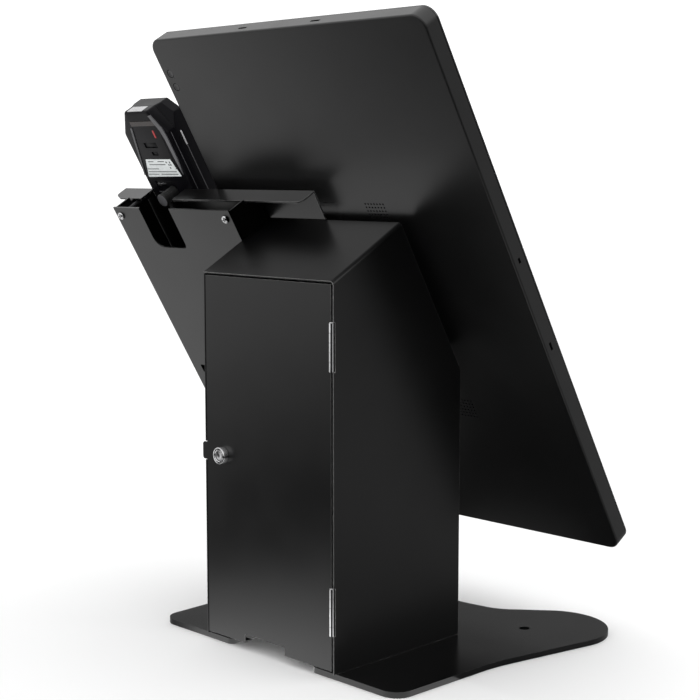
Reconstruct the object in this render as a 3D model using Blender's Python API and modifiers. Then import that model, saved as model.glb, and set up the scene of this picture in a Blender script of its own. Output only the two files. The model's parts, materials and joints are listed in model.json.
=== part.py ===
"""Countertop self checkout kiosk: a steel stand whose column is a locked cabinet, a portrait touch
display on the column's sloping front, and a payment terminal held beside the display.

World frame: the origin is on the base plate's underside, under the middle of the column. +X is the
customer's right, -Y is towards the customer and +Z is up. The display, its spacer and the terminal
holder are modelled in the slope frame: x as in the world, y up the slope, z out towards the customer."""

import math

import bmesh
import bpy
from mathutils import Matrix, Vector

MM = 0.001
GAP = 0.3 * MM  # left between pieces that touch

# Base plate
BASE_THICKNESS = 6 * MM
BASE_REAR_HALF_WIDTH = 184.5 * MM
BASE_WAIST_HALF_WIDTH = 188.5 * MM
BASE_WAIST_FROM_REAR = 150 * MM
BASE_WAIST_RADIUS = 240 * MM
LOBE_HALF_WIDTH = 231.2 * MM
LOBE_INNER_HALF_WIDTH = 134 * MM
LOBE_FROM_REAR = 350.5 * MM
LOBE_RADIUS = 60.5 * MM
BASE_HOLLOW = (69.6 * MM, 297 * MM, 55 * MM)  # half width, from the rear, radius between lobe and middle
BASE_MIDDLE_FROM_REAR = 286.5 * MM
BASE_MIDDLE_RADIUS = 250 * MM
BASE_HOLE_SPOT = (138 * MM, 261 * MM)  # half spacing, from the rear
BASE_HOLE_RADIUS = 6 * MM
BASE_INSET_FROM_REAR = 3.5 * MM
BASE_REAR_CORNER = 20 * MM
CABLE_CUTOUT_HALF_WIDTH = 63 * MM
CABLE_CUTOUT_DEPTH = 52 * MM
CABLE_CUTOUT_RADII = (10 * MM, 6 * MM)  # inner and outer corners

# Column
SHEET = 1.5 * MM
COLUMN_WIDTH = 200 * MM
COLUMN_DEPTH = 191.7 * MM
REAR_HEIGHT = 400.2 * MM  # above the base plate
RIDGE_HEIGHT = 455.7 * MM
RIDGE_FROM_REAR = 96.5 * MM
SLOPE_FOOT_HEIGHT = 295.4 * MM
SHELL_BEND_RADIUS = 4.5 * MM
FLANGE = 14 * MM

HALF = COLUMN_WIDTH / 2
REAR = COLUMN_DEPTH / 2
FRONT = -COLUMN_DEPTH / 2
FLOOR = BASE_THICKNESS
REAR_TOP = Vector((0, REAR, FLOOR + REAR_HEIGHT))
RIDGE = Vector((0, REAR - RIDGE_FROM_REAR, FLOOR + RIDGE_HEIGHT))
SLOPE_FOOT = Vector((0, FRONT, FLOOR + SLOPE_FOOT_HEIGHT))
TILT = math.atan2(RIDGE.y - SLOPE_FOOT.y, RIDGE.z - SLOPE_FOOT.z)  # from the vertical

# Door, in the world frame
DOOR_LOW = FLOOR + 3 * MM
DOOR_HIGH = FLOOR + 397 * MM
DOOR_RETURN = 10 * MM
DOOR_FREE_EDGE = 97 * MM
DOOR_HINGE_EDGE = -96.4 * MM
DOOR_NOTCH = (-26 * MM, 37.5 * MM, 12.5 * MM)  # low x, high x, height above the base plate
TAB_REACH = 104.3 * MM
TAB_LOW = FLOOR + 196 * MM
TAB_HIGH = FLOOR + 215 * MM
TAB_CORNER = 3 * MM
TAB_CLEARANCE = 0.8 * MM
HINGE_AXIS = Vector((-97.45 * MM, REAR + 0.4 * MM, 0))
HINGE_HEIGHT = 49 * MM
HINGE_CENTRES = {"lower": FLOOR + 65 * MM, "upper": FLOOR + 334.5 * MM}
KNUCKLES = 5
KNUCKLE_RADIUS = 2.4 * MM
HINGE_PIN_RADIUS = 1.1 * MM
HINGE_PIN_PLAY = 0.08 * MM
LEAF_THICKNESS = 0.6 * MM
LEAF_DEPTH = 9.5 * MM
LEAF_CLEAR_OF_AXIS = 1.6 * MM
LOCK_AXIS = Vector((70 * MM, REAR, FLOOR + 204 * MM))
LOCK_FACE_RADIUS = 9.2 * MM
LOCK_BARREL_RADIUS = 8 * MM
LOCK_PLUG_RADIUS = 5.6 * MM
LOCK_PROUD = 7 * MM
LOCK_DEPTH = 14 * MM
LOCK_NUT_RADIUS = 12 * MM
LOCK_NUT_THICKNESS = 2 * MM
CAM_LENGTH = 24 * MM
CAM_HALF_WIDTH = 7 * MM
STRIKE_HEIGHT = 18 * MM
STRIKE_FROM_REAR = 14 * MM
STRIKE_LEGS = (10 * MM, 26 * MM)  # the arm that the cam meets, and the foot on the panel

# Display, in the slope frame
DISPLAY_LEFT = -215.7 * MM
DISPLAY_RIGHT = 189.8 * MM
DISPLAY_LOW = -246.7 * MM
DISPLAY_HIGH = 403.2 * MM
DISPLAY_BACK = 15 * MM
DISPLAY_DEPTH = 20.4 * MM
DISPLAY_CORNER = 15 * MM
GLASS_THICKNESS = 2.6 * MM
HOUSING_WALL = 2.2 * MM
VESA_PITCH = 100 * MM
SPACER_HALF_SIZES = (66 * MM, 38 * MM)  # outside and window
SPACER_CORNER = 8 * MM
SCREW_RADIUS = 1.95 * MM
SCREW_HOLE_RADIUS = 2.4 * MM
SCREW_HEAD_RADIUS = 4.8 * MM
SCREW_HEAD_HEIGHT = 2.7 * MM
SCREW_END = 19.5 * MM  # the display screws' ends, in front of the slope
PORT_BAY = (3 * MM, 123 * MM, 145 * MM, 199.3 * MM)  # low x, high x, low up, high up
BOARD_BELOW_PORTS = 120 * MM
BOARD_BACK = 22 * MM
BOARD_THICKNESS = 1.6 * MM
LCD_MARGIN = 14 * MM
LCD_THICKNESS = 6 * MM
DISPLAY_CENTRE = Vector(((DISPLAY_LEFT + DISPLAY_RIGHT) / 2, (DISPLAY_LOW + DISPLAY_HIGH) / 2, 0))
BUTTON_SPOTS = {"power_button": (177.6 * MM, 362 * MM), "menu_button": (177.6 * MM, 345.5 * MM)}
BUTTON_RADIUS = 4.6 * MM
BUTTON_LENGTH = 4.8 * MM

# Terminal holder, in the slope frame
HOLDER_SHEET = 2 * MM
HOLDER_TOP = 221.5 * MM
LIP_DEPTH = 20.5 * MM
HOLDER_LEFT = 11.5 * MM
HOLDER_RIGHT = 345 * MM
HOLDER_BOTTOM = -55 * MM
HOLDER_ROOT_LEFT = -88 * MM  # the part between the column and the spacer
HOLDER_ROOT_RIGHT = 108 * MM
HOLDER_ROOT_HEIGHTS = (10 * MM, 152 * MM)
HOLDER_SHOULDER = (90 * MM, 135 * MM)  # where the plate widens towards its lip
HOLDER_SHOULDER_RADIUS = 30 * MM
HOLDER_CORNER = 8 * MM
LIP_NOTCH = (230 * MM, 290 * MM)
LIP_NOTCH_DEPTH = 16 * MM
LIP_NOTCH_CORNER = 5 * MM
LIP_CHAMFER = (14 * MM, 7 * MM)  # along the lip, into its depth
LIP_CHAMFER_RADIUS = 6 * MM
COVER_DEPTH = 48 * MM
COVER_LEFT = 100.3 * MM
COVER_RIGHT = 310 * MM
COVER_TOP = 225.5 * MM
COVER_SLOT = (204.5 * MM, 260.5 * MM, 172 * MM)  # low x, high x, bottom
COVER_SLOT_RADII = (6 * MM, 13 * MM)  # at its low x and its high x
COVER_HOLE = (234 * MM, 294 * MM, -15.5 * MM, -3.5 * MM)
COVER_HOLE_CORNER = 2 * MM
COVER_SCREWS = {"left": (110.6 * MM, 214.5 * MM), "right": (301 * MM, 214.5 * MM)}
COVER_SCREW_SHANK = 12 * MM
STANDOFF_RADII = (2.3 * MM, 3.5 * MM)  # bore and outside
LEAD_CLIP_SPOT = (205.5 * MM, 216.5 * MM)
LEAD_CLIP_SHANK = 4 * MM
TERMINAL_FIXING_UP = 180 * MM
GROMMET_SPOT = (60 * MM, 30 * MM)  # up the slope, behind the slope
GROMMET_HOLE_RADIUS = 10 * MM

# Payment terminal, in the slope frame
TERMINAL_CENTRE = 255.5 * MM
TERMINAL_HALF_WIDTH = 40.5 * MM
TERMINAL_TOP = 324 * MM
TERMINAL_BOTTOM = 150 * MM
TERMINAL_BACK = 3 * MM
TERMINAL_SEAM = 16 * MM
TERMINAL_FRONT = 36 * MM
TERMINAL_WALL = 2.2 * MM
TERMINAL_SHOULDER = (18.5 * MM, 28 * MM)  # cut away from the rear's top corners: across, down
TERMINAL_FRONT_SHOULDER = (15.5 * MM, 13 * MM)
TERMINAL_FLARE = 8 * MM  # where the front's wider shoulders start, in front of the seam
TERMINAL_FOOT_RADIUS = 10 * MM
LENS_HALF_WIDTH = 30 * MM
LENS_HEIGHTS = (238 * MM, 290 * MM)
LENS_RECESS = 1.2 * MM
TERMINAL_BOARD_HALF_WIDTH = 36 * MM
TERMINAL_BOARD_HEIGHTS = (156 * MM, 290 * MM)
TERMINAL_BOARD_BACK = 27 * MM
KEY_FOOT = 30.2 * MM
KEY_PROUD = 1.8 * MM
KEY_COLUMNS = 3
KEY_ROWS = 5
KEY_SIZE = (18 * MM, 9.4 * MM)
KEY_PITCH = (22 * MM, 13.6 * MM)
KEY_FIRST_ROW = 164 * MM
KEY_NAMES = (
    ("cancel", "clear", "enter"),
    ("star", "0", "hash"),
    ("7", "8", "9"),
    ("4", "5", "6"),
    ("1", "2", "3"),
)
PLUG_SPOT = (252.7 * MM, 217.8 * MM)
PLUG_RADIUS = 8 * MM
PLUG_TIP_RADIUS = 4.6 * MM
SOCKET_RADIUS = 5 * MM
PLUG_END = 19 * MM  # behind the slope
LEAD_RADIUS = 2.5 * MM

# Inside the cabinet
ADAPTER_SIZE = (150 * MM, 62 * MM, 35.7 * MM)
ADAPTER_FRONT = -66 * MM
INLET_HALF_SIZE = (17 * MM, 10 * MM, 9 * MM)
INTERFACE_BOX_SIZE = (80 * MM, 26 * MM, 80 * MM)
INTERFACE_BOX_TOP = FLOOR + 225 * MM

# Planes that flat outlines are drawn in: the columns are where u, v and the thickness go
FLAT = Matrix(((1, 0, 0), (0, 1, 0), (0, 0, 1)))
SIDE = Matrix(((0, 0, 1), (1, 0, 0), (0, 1, 0)))  # u is +Y, v is +Z, thickness is +X
BACK = Matrix(((1, 0, 0), (0, 0, -1), (0, 1, 0)))  # u is +X, v is +Z, thickness is -Y
LEVEL = Matrix(((1, 0, 0), (0, 0, 1), (0, -1, 0)))  # u is +X, v is -Z, thickness is +Y

COLOURS = {
    "powder_coat": ((0.018, 0.018, 0.019), 0.45, 0.0),
    "steel": ((0.62, 0.62, 0.63), 0.28, 1.0),
    "chrome": ((0.80, 0.80, 0.81), 0.12, 1.0),
    "display_plastic": ((0.022, 0.022, 0.023), 0.5, 0.0),
    "glass": ((0.004, 0.004, 0.005), 0.04, 0.0),
    "lcd": ((0.05, 0.05, 0.055), 0.3, 0.0),
    "circuit_board": ((0.02, 0.09, 0.04), 0.5, 0.0),
    "terminal_plastic": ((0.035, 0.034, 0.042), 0.42, 0.0),
    "key_plastic": ((0.16, 0.16, 0.17), 0.5, 0.0),
    "rubber": ((0.015, 0.015, 0.015), 0.75, 0.0),
    "adapter_plastic": ((0.02, 0.02, 0.02), 0.55, 0.0),
}
KEY_COLOURS = {"cancel": (0.45, 0.02, 0.02), "clear": (0.55, 0.38, 0.02), "enter": (0.02, 0.26, 0.06)}


def clear_scene():
    for obj in list(bpy.data.objects):
        bpy.data.objects.remove(obj, do_unlink=True)


def new_collection(name):
    collection = bpy.data.collections.new(name)
    bpy.context.scene.collection.children.link(collection)
    return collection


def new_material(name, colour, roughness, metallic):
    material = bpy.data.materials.new(name)
    material.use_nodes = True
    shader = material.node_tree.nodes["Principled BSDF"]
    shader.inputs["Base Color"].default_value = (*colour, 1)
    shader.inputs["Roughness"].default_value = roughness
    shader.inputs["Metallic"].default_value = metallic
    return material


def finish_of(name, look):
    """The part's own material, named after it."""
    colour, roughness, metallic = COLOURS[look]
    return new_material(name, KEY_COLOURS.get(name.removeprefix("key_"), colour), roughness, metallic)


def add_part(name, mesh, look, parent=None, origin=(0, 0, 0)):
    """Puts a mesh, given in its parent's coordinates, into the kiosk with its origin at a point."""
    mesh.name = name
    mesh.transform(Matrix.Translation(-Vector(origin)))
    obj = bpy.data.objects.new(name, mesh)
    obj.location = origin
    obj.parent = parent
    mesh.materials.clear()
    mesh.materials.append(finish_of(name, look))
    PARTS.objects.link(obj)
    return obj


def add_frame(name, location, rotation=(0, 0, 0), parent=None):
    empty = bpy.data.objects.new(name, None)
    empty.empty_display_size = 0.03
    empty.location = location
    empty.rotation_euler = rotation
    empty.parent = parent
    PARTS.objects.link(empty)
    return empty


def cut(obj, name, mesh, operation="DIFFERENCE"):
    """A Boolean modifier with its own hidden tool, in the same frame as the piece."""
    tool = bpy.data.objects.new(f"{obj.name}_{name}", mesh)
    tool.parent = obj.parent
    tool.hide_render = True
    tool.display_type = "WIRE"
    CUTTERS.objects.link(tool)
    modifier = obj.modifiers.new(name, "BOOLEAN")
    modifier.operation = operation
    modifier.object = tool
    return modifier


def shade_round(mesh, angle=40):
    """Smooth shading on curved faces, with the real edges left sharp."""
    mesh.shade_smooth()
    mesh.set_sharp_from_angle(angle=math.radians(angle))
    return mesh


def rounded(corners, steps=4):
    """An outline from (u, v) or (u, v, radius) corners, with each rounded corner as an arc."""
    points = []
    for index, corner in enumerate(corners):
        here = Vector(corner[:2])
        radius = corner[2] if len(corner) > 2 else 0
        if radius == 0:
            points.append(here)
            continue
        before = (Vector(corners[index - 1][:2]) - here).normalized()
        after = (Vector(corners[(index + 1) % len(corners)][:2]) - here).normalized()
        half_angle = before.angle(after) / 2
        tangent = radius / math.tan(half_angle)
        centre = here + (before + after).normalized() * (radius / math.sin(half_angle))
        start = here + before * tangent - centre
        sweep = (here + after * tangent - centre).angle_signed(start)
        for step in range(steps + 1):
            turn = sweep * step / steps
            points.append(centre + Matrix.Rotation(turn, 2) @ start)
    return points


def circle(centre, radius, steps=20):
    turns = [math.tau * step / steps for step in range(steps)]
    return [Vector((centre[0] + radius * math.cos(t), centre[1] + radius * math.sin(t))) for t in turns]


def rectangle(low_u, high_u, low_v, high_v, radius=0):
    corners = [(low_u, low_v), (high_u, low_v), (high_u, high_v), (low_u, high_v)]
    return rounded([(*corner, radius) for corner in corners])


def plate(loops, low, high, plane=FLAT):
    """The mesh of a flat plate: outer outline first, then its holes, from low to high through the plane."""
    curve = bpy.data.curves.new("outline", "CURVE")
    curve.dimensions = "2D"
    curve.fill_mode = "BOTH"
    curve.extrude = (high - low) / 2
    for loop in loops:
        spline = curve.splines.new("POLY")
        spline.points.add(len(loop) - 1)
        for point, place in zip(spline.points, loop):
            point.co = (place[0], place[1], 0, 1)
        spline.use_cyclic_u = True
    obj = bpy.data.objects.new("outline", curve)
    bpy.context.scene.collection.objects.link(obj)
    mesh = bpy.data.meshes.new_from_object(obj.evaluated_get(bpy.context.evaluated_depsgraph_get()))
    bpy.data.objects.remove(obj)
    bpy.data.curves.remove(curve)
    mesh.transform(plane.to_4x4() @ Matrix.Translation((0, 0, (low + high) / 2)))
    return welded(mesh)


def welded(mesh):
    work = bmesh.new()
    work.from_mesh(mesh)
    bmesh.ops.remove_doubles(work, verts=work.verts, dist=1e-6)
    bmesh.ops.recalc_face_normals(work, faces=work.faces)
    work.to_mesh(mesh)
    work.free()
    return mesh


def block(low, high, bevel=0, segments=2):
    """The mesh of a box between two corners, its edges rounded by bevel."""
    low = Vector(low)
    high = Vector(high)
    work = bmesh.new()
    bmesh.ops.create_cube(work, size=1)
    bmesh.ops.scale(work, vec=high - low, verts=work.verts)
    bmesh.ops.translate(work, vec=(low + high) / 2, verts=work.verts)
    if bevel:
        bmesh.ops.bevel(work, geom=work.edges, offset=bevel, segments=segments, profile=0.5, affect="EDGES")
    mesh = bpy.data.meshes.new("block")
    work.to_mesh(mesh)
    work.free()
    return mesh


def joined(meshes):
    """Several separate meshes as one tool."""
    work = bmesh.new()
    for mesh in meshes:
        work.from_mesh(mesh)
    mesh = bpy.data.meshes.new("tools")
    work.to_mesh(mesh)
    work.free()
    return mesh


def rod(start, end, radius, steps=20):
    """The mesh of a cylinder between two points."""
    start = Vector(start)
    end = Vector(end)
    work = bmesh.new()
    length = (end - start).length
    bmesh.ops.create_cone(work, cap_ends=True, segments=steps, radius1=radius, radius2=radius, depth=length)
    turn = (end - start).to_track_quat("Z", "Y").to_matrix().to_4x4()
    bmesh.ops.transform(work, matrix=Matrix.Translation((start + end) / 2) @ turn, verts=work.verts)
    mesh = bpy.data.meshes.new("rod")
    work.to_mesh(mesh)
    work.free()
    return shade_round(mesh)


def turned(obj, steps=24):
    """A Screw modifier that turns the piece's profile about its own Z."""
    modifier = obj.modifiers.new("turn", "SCREW")
    modifier.steps = steps
    modifier.render_steps = steps
    modifier.use_merge_vertices = True
    modifier.merge_threshold = 1e-5
    modifier.use_smooth_shade = True
    return obj


def profile_mesh(points, closed):
    """A profile of (radius, height) points in the XZ plane, outer side from top to bottom."""
    work = bmesh.new()
    verts = [work.verts.new((radius, 0, height)) for radius, height in points]
    for first, second in zip(verts, verts[1:]):
        work.edges.new((first, second))
    if closed:
        work.edges.new((verts[-1], verts[0]))
    mesh = bpy.data.meshes.new("profile")
    work.to_mesh(mesh)
    work.free()
    return mesh


def add_turned(name, points, look, spot, axis, parent=None, closed=False, steps=24):
    """A turned piece whose own Z lies along an axis and whose origin is at a spot on it."""
    obj = add_part(name, profile_mesh(points, closed), look, parent)
    obj.location = spot
    obj.rotation_mode = "QUATERNION"
    obj.rotation_quaternion = Vector(axis).to_track_quat("Z", "Y")
    return turned(obj, steps)


def surface(faces, outward):
    """An open surface from its flat faces. Its normals follow the first face, which looks outward."""
    work = bmesh.new()
    for face in faces:
        work.faces.new([work.verts.new(place) for place in face])
    bmesh.ops.remove_doubles(work, verts=work.verts, dist=1e-6)
    bmesh.ops.recalc_face_normals(work, faces=work.faces)
    work.faces.ensure_lookup_table()
    work.normal_update()
    if work.faces[0].normal.dot(Vector(outward)) < 0:
        bmesh.ops.reverse_faces(work, faces=work.faces)
    mesh = bpy.data.meshes.new("surface")
    work.to_mesh(mesh)
    work.free()
    return mesh


def thicken(obj, thickness):
    """Sheet metal or moulding: thickness is added behind the outer surface."""
    modifier = obj.modifiers.new("thickness", "SOLIDIFY")
    modifier.thickness = thickness
    modifier.offset = -1
    modifier.use_even_offset = True
    modifier.use_quality_normals = True
    return obj


def ring_surface(rings, outward):
    """A pan: the first (outline, height) ring is closed with a face, and walls join each ring to the next."""
    faces = [[(*point, rings[0][1]) for point in rings[0][0]]]
    for (lower, low), (upper, high) in zip(rings, rings[1:]):
        count = len(lower)
        for index in range(count):
            after = (index + 1) % count
            faces.append([
                (*lower[index], low), (*lower[after], low), (*upper[after], high), (*upper[index], high),
            ])
    return surface(faces, outward)


def smooth_route(points, spacing):
    """Points a spacing apart on a smooth curve through the route's own points."""
    ends = [2 * points[0] - points[1], *points, 2 * points[-1] - points[-2]]
    route = []
    for before, start, end, after in zip(ends, ends[1:], ends[2:], ends[3:]):
        pieces = max(1, round((end - start).length / spacing))
        for piece in range(pieces):
            t = piece / pieces
            route.append(
                0.5 * (2 * start + (end - before) * t + (2 * before - 5 * start + 4 * end - after) * t**2
                       + (3 * start - before - 3 * end + after) * t**3)
            )
    route.append(points[-1])
    return route


def add_lead(name, points, radius, look):
    """A round lead along a route, as a curve with filled caps."""
    curve = bpy.data.curves.new(name, "CURVE")
    curve.dimensions = "3D"
    curve.bevel_depth = radius
    curve.bevel_resolution = 2
    curve.use_fill_caps = True
    spline = curve.splines.new("POLY")
    spline.points.add(len(points) - 1)
    for point, place in zip(spline.points, points):
        point.co = (*place, 1)
    obj = bpy.data.objects.new(name, curve)
    curve.materials.append(finish_of(name, look))
    PARTS.objects.link(obj)
    return obj


def from_slope(x, up, behind):
    """World place of a point in the slope frame, given as a distance behind the slope."""
    return SLOPE_FOOT + Vector((x, up * math.sin(TILT) + behind * math.cos(TILT),
                                up * math.cos(TILT) - behind * math.sin(TILT)))


# ---------------------------------------------------------------- base plate


def base_outline():
    """Half of the outline by its corners, from the cable cut-out round to the front's middle, and its mirror."""
    rear = REAR - BASE_INSET_FROM_REAR
    lobe_front = REAR - LOBE_FROM_REAR
    hollow_half, hollow_from_rear, hollow_radius = BASE_HOLLOW
    half = [
        (CABLE_CUTOUT_HALF_WIDTH, rear - CABLE_CUTOUT_DEPTH, CABLE_CUTOUT_RADII[0]),
        (CABLE_CUTOUT_HALF_WIDTH, rear, CABLE_CUTOUT_RADII[1]),
        (BASE_REAR_HALF_WIDTH, rear, BASE_REAR_CORNER),
        (BASE_WAIST_HALF_WIDTH, REAR - BASE_WAIST_FROM_REAR, BASE_WAIST_RADIUS),
        (LOBE_HALF_WIDTH, lobe_front, LOBE_RADIUS),
        (LOBE_INNER_HALF_WIDTH, lobe_front, LOBE_RADIUS),
        (hollow_half, REAR - hollow_from_rear, hollow_radius),
    ]
    middle = [(0, REAR - BASE_MIDDLE_FROM_REAR, BASE_MIDDLE_RADIUS)]
    mirrored = [(-corner[0], *corner[1:]) for corner in reversed(half)]
    return rounded(half + middle + mirrored, steps=7)


def make_base():
    half_spacing, from_rear = BASE_HOLE_SPOT
    holes = [circle((side * half_spacing, REAR - from_rear), BASE_HOLE_RADIUS) for side in (-1, 1)]
    add_part("base_plate", plate([base_outline(), *holes], 0, BASE_THICKNESS), "powder_coat")


# ---------------------------------------------------------------- column


def side_corners(x, low):
    """The column's side outline at x below the top sheet, and where its foot flange ends."""
    return {
        "rear_foot": Vector((x, REAR, low)),
        "flange_end": Vector((x, REAR - FLANGE, low)),
        "front_foot": Vector((x, FRONT, low)),
        "slope_foot": Vector((x, FRONT, SLOPE_FOOT.z)),
    }


def top_row(x, depth):
    """Where a line at a depth below the top sheet's outer face meets the slope and the rear plane."""
    along = (REAR_TOP - RIDGE).normalized()
    up = Vector((0, -along.z, along.y))
    down_slope = (SLOPE_FOOT - RIDGE).normalized()
    drop = -depth / down_slope.dot(up)
    start = RIDGE - up * depth + along * (drop * down_slope.dot(along))
    run = (REAR - start.y) / along.y
    end = start + along * run
    return Vector((x, start.y, start.z)), Vector((x, end.y, end.z))


def make_column_shell():
    """The -X side, the bend and the top sheet in one, with a foot flange."""
    bend_steps = 6
    rows = []
    for step in range(bend_steps + 1):
        turn = math.pi / 2 * step / bend_steps
        x = -HALF + SHELL_BEND_RADIUS * (1 - math.cos(turn))
        rows.append(top_row(x, SHELL_BEND_RADIUS * (1 - math.sin(turn))))
    rows.append(top_row(HALF, 0))
    low = FLOOR + GAP
    side = side_corners(-HALF, low)
    flange = side_corners(-HALF + FLANGE, low)
    below = [side[corner] for corner in ("rear_foot", "flange_end", "front_foot", "slope_foot")]
    faces = [[rows[0][0], rows[0][1], *below]]
    for first, second in zip(rows, rows[1:]):
        faces.append([first[0], first[1], second[1], second[0]])
    faces.append([side["flange_end"], side["front_foot"], flange["front_foot"] + Vector((0, FLANGE, 0)),
                  flange["flange_end"]])
    shell = thicken(add_part("column_shell", surface(faces, (-1, 0, 0)), "powder_coat"), SHEET)
    cut(shell, "hinge_notches", hinge_notches(-HALF - SHEET))


def make_side_panel():
    """The +X side under the top sheet, with notches and holes for the pull tab and the grommet."""
    low = FLOOR + GAP
    ridge, rear = top_row(HALF, SHEET + GAP)
    side = side_corners(HALF, low)
    flange = side_corners(HALF - FLANGE, low)
    faces = [
        [ridge, rear, side["rear_foot"], side["flange_end"], side["front_foot"], side["slope_foot"]],
        [
            side["flange_end"], side["front_foot"], flange["front_foot"] + Vector((0, FLANGE, 0)),
            flange["flange_end"],
        ],
    ]
    panel = thicken(add_part("column_side_panel", surface(faces, (1, 0, 0)), "powder_coat"), SHEET)
    notch_low = (HALF - 2 * SHEET, REAR - SHEET - TAB_CLEARANCE, TAB_LOW - TAB_CLEARANCE)
    notch_high = (HALF + SHEET, REAR + SHEET, TAB_HIGH + TAB_CLEARANCE)
    notch = block(notch_low, notch_high)
    centre = grommet_centre()
    through = Vector((2 * SHEET, 0, 0))
    hole = rod(centre - through, centre + through, GROMMET_HOLE_RADIUS + GAP)
    cut(panel, "tab_notch", notch)
    cut(panel, "grommet_hole", hole)


def make_front_panel():
    """The slope and the upright front in one sheet, with side flanges, inside the two sides."""
    reach = HALF - SHEET - GAP
    top = top_row(0, SHELL_BEND_RADIUS + GAP)[0]
    foot = Vector((0, FRONT, FLOOR + SHEET + 2 * GAP))
    outer = [top, SLOPE_FOOT, foot]
    inward = (Vector((0, math.cos(TILT), -math.sin(TILT))), Vector((0, 1, 0)))
    corner = Vector((0, FLANGE, -FLANGE * math.tan(TILT / 2)))
    inner = [top + inward[0] * FLANGE, SLOPE_FOOT + corner, foot + inward[1] * FLANGE]
    faces = []
    for above, below in ((0, 1), (1, 2)):
        faces.append([at_x(outer[above], -reach), at_x(outer[below], -reach), at_x(outer[below], reach),
                      at_x(outer[above], reach)])
        for side in (-reach, reach):
            faces.append([at_x(outer[above], side), at_x(outer[below], side), at_x(inner[below], side),
                          at_x(inner[above], side)])
    panel = thicken(add_part("column_front_panel", surface(faces, (0, -1, 0)), "powder_coat"), SHEET)
    cut(panel, "mount_holes", joined(mount_hole_tools(in_world=True)))


def at_x(place, x):
    return Vector((x, place.y, place.z))


def make_strike():
    """The angle that the lock's cam turns behind, on the side panel."""
    inner = HALF - SHEET - GAP
    low = LOCK_AXIS.z - STRIKE_HEIGHT / 2
    high = LOCK_AXIS.z + STRIKE_HEIGHT / 2
    catch = REAR - STRIKE_FROM_REAR
    arm, foot = STRIKE_LEGS
    corner_points = [
        (inner, catch - foot), (inner, catch), (inner - arm, catch), (inner - arm, catch - SHEET),
        (inner - SHEET, catch - SHEET), (inner - SHEET, catch - foot),
    ]
    add_part("lock_strike", plate([corner_points], low, high), "steel")


# ---------------------------------------------------------------- door


def hinge_notches(low_x):
    """Room for both hinges' knuckles in the rear edges on the hinge side."""
    clear = KNUCKLE_RADIUS + GAP
    tools = []
    for centre in HINGE_CENTRES.values():
        low = (low_x, HINGE_AXIS.y - clear, centre - HINGE_HEIGHT / 2 - GAP)
        high = (HINGE_AXIS.x + clear, REAR + SHEET, centre + HINGE_HEIGHT / 2 + GAP)
        tools.append(block(low, high))
    return joined(tools)


def make_door(hinge_frame):
    """The door pan with its returns, the pull tab, the cable notch, the lock hole and the hinge notches."""
    origin = Vector((HINGE_AXIS.x, HINGE_AXIS.y, 0))
    edges = [(DOOR_HINGE_EDGE, DOOR_LOW), (DOOR_FREE_EDGE, DOOR_LOW), (DOOR_FREE_EDGE, DOOR_HIGH),
             (DOOR_HINGE_EDGE, DOOR_HIGH)]
    face = [Vector((x, REAR, z)) for x, z in edges]
    back = [point - Vector((0, DOOR_RETURN, 0)) for point in face]
    faces = [face]
    for index in range(len(face)):
        after = (index + 1) % len(face)
        faces.append([face[index], face[after], back[after], back[index]])
    faces = [[point - origin for point in points] for points in faces]
    door = thicken(add_part("door_panel", surface(faces, (0, 1, 0)), "powder_coat", hinge_frame), SHEET)
    move = Matrix.Translation(-origin)
    tab_root = DOOR_FREE_EDGE - 4 * SHEET
    tab_outline = rounded([
        (tab_root, TAB_LOW), (TAB_REACH, TAB_LOW, TAB_CORNER), (TAB_REACH, TAB_HIGH, TAB_CORNER),
        (tab_root, TAB_HIGH),
    ])
    notch_low, notch_high, notch_top = DOOR_NOTCH
    below = DOOR_LOW - 3 * SHEET
    notch_outline = rounded([
        (notch_low, below), (notch_high, below), (notch_high, FLOOR + notch_top, TAB_CORNER),
        (notch_low, FLOOR + notch_top, TAB_CORNER),
    ])
    through = Vector((0, 2 * SHEET, 0))
    tools = {
        "tab": (plate([tab_outline], -REAR, SHEET - REAR, BACK), "UNION"),
        "cable_notch": (plate([notch_outline], -REAR - SHEET, DOOR_RETURN + SHEET - REAR, BACK), "DIFFERENCE"),
        "lock_hole": (rod(LOCK_AXIS + through, LOCK_AXIS - through, LOCK_BARREL_RADIUS + GAP), "DIFFERENCE"),
        "hinge_notches": (hinge_notches(DOOR_HINGE_EDGE - SHEET), "DIFFERENCE"),
    }
    for name, (mesh, operation) in tools.items():
        mesh.transform(move)
        cut(door, name, mesh, operation)


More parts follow.
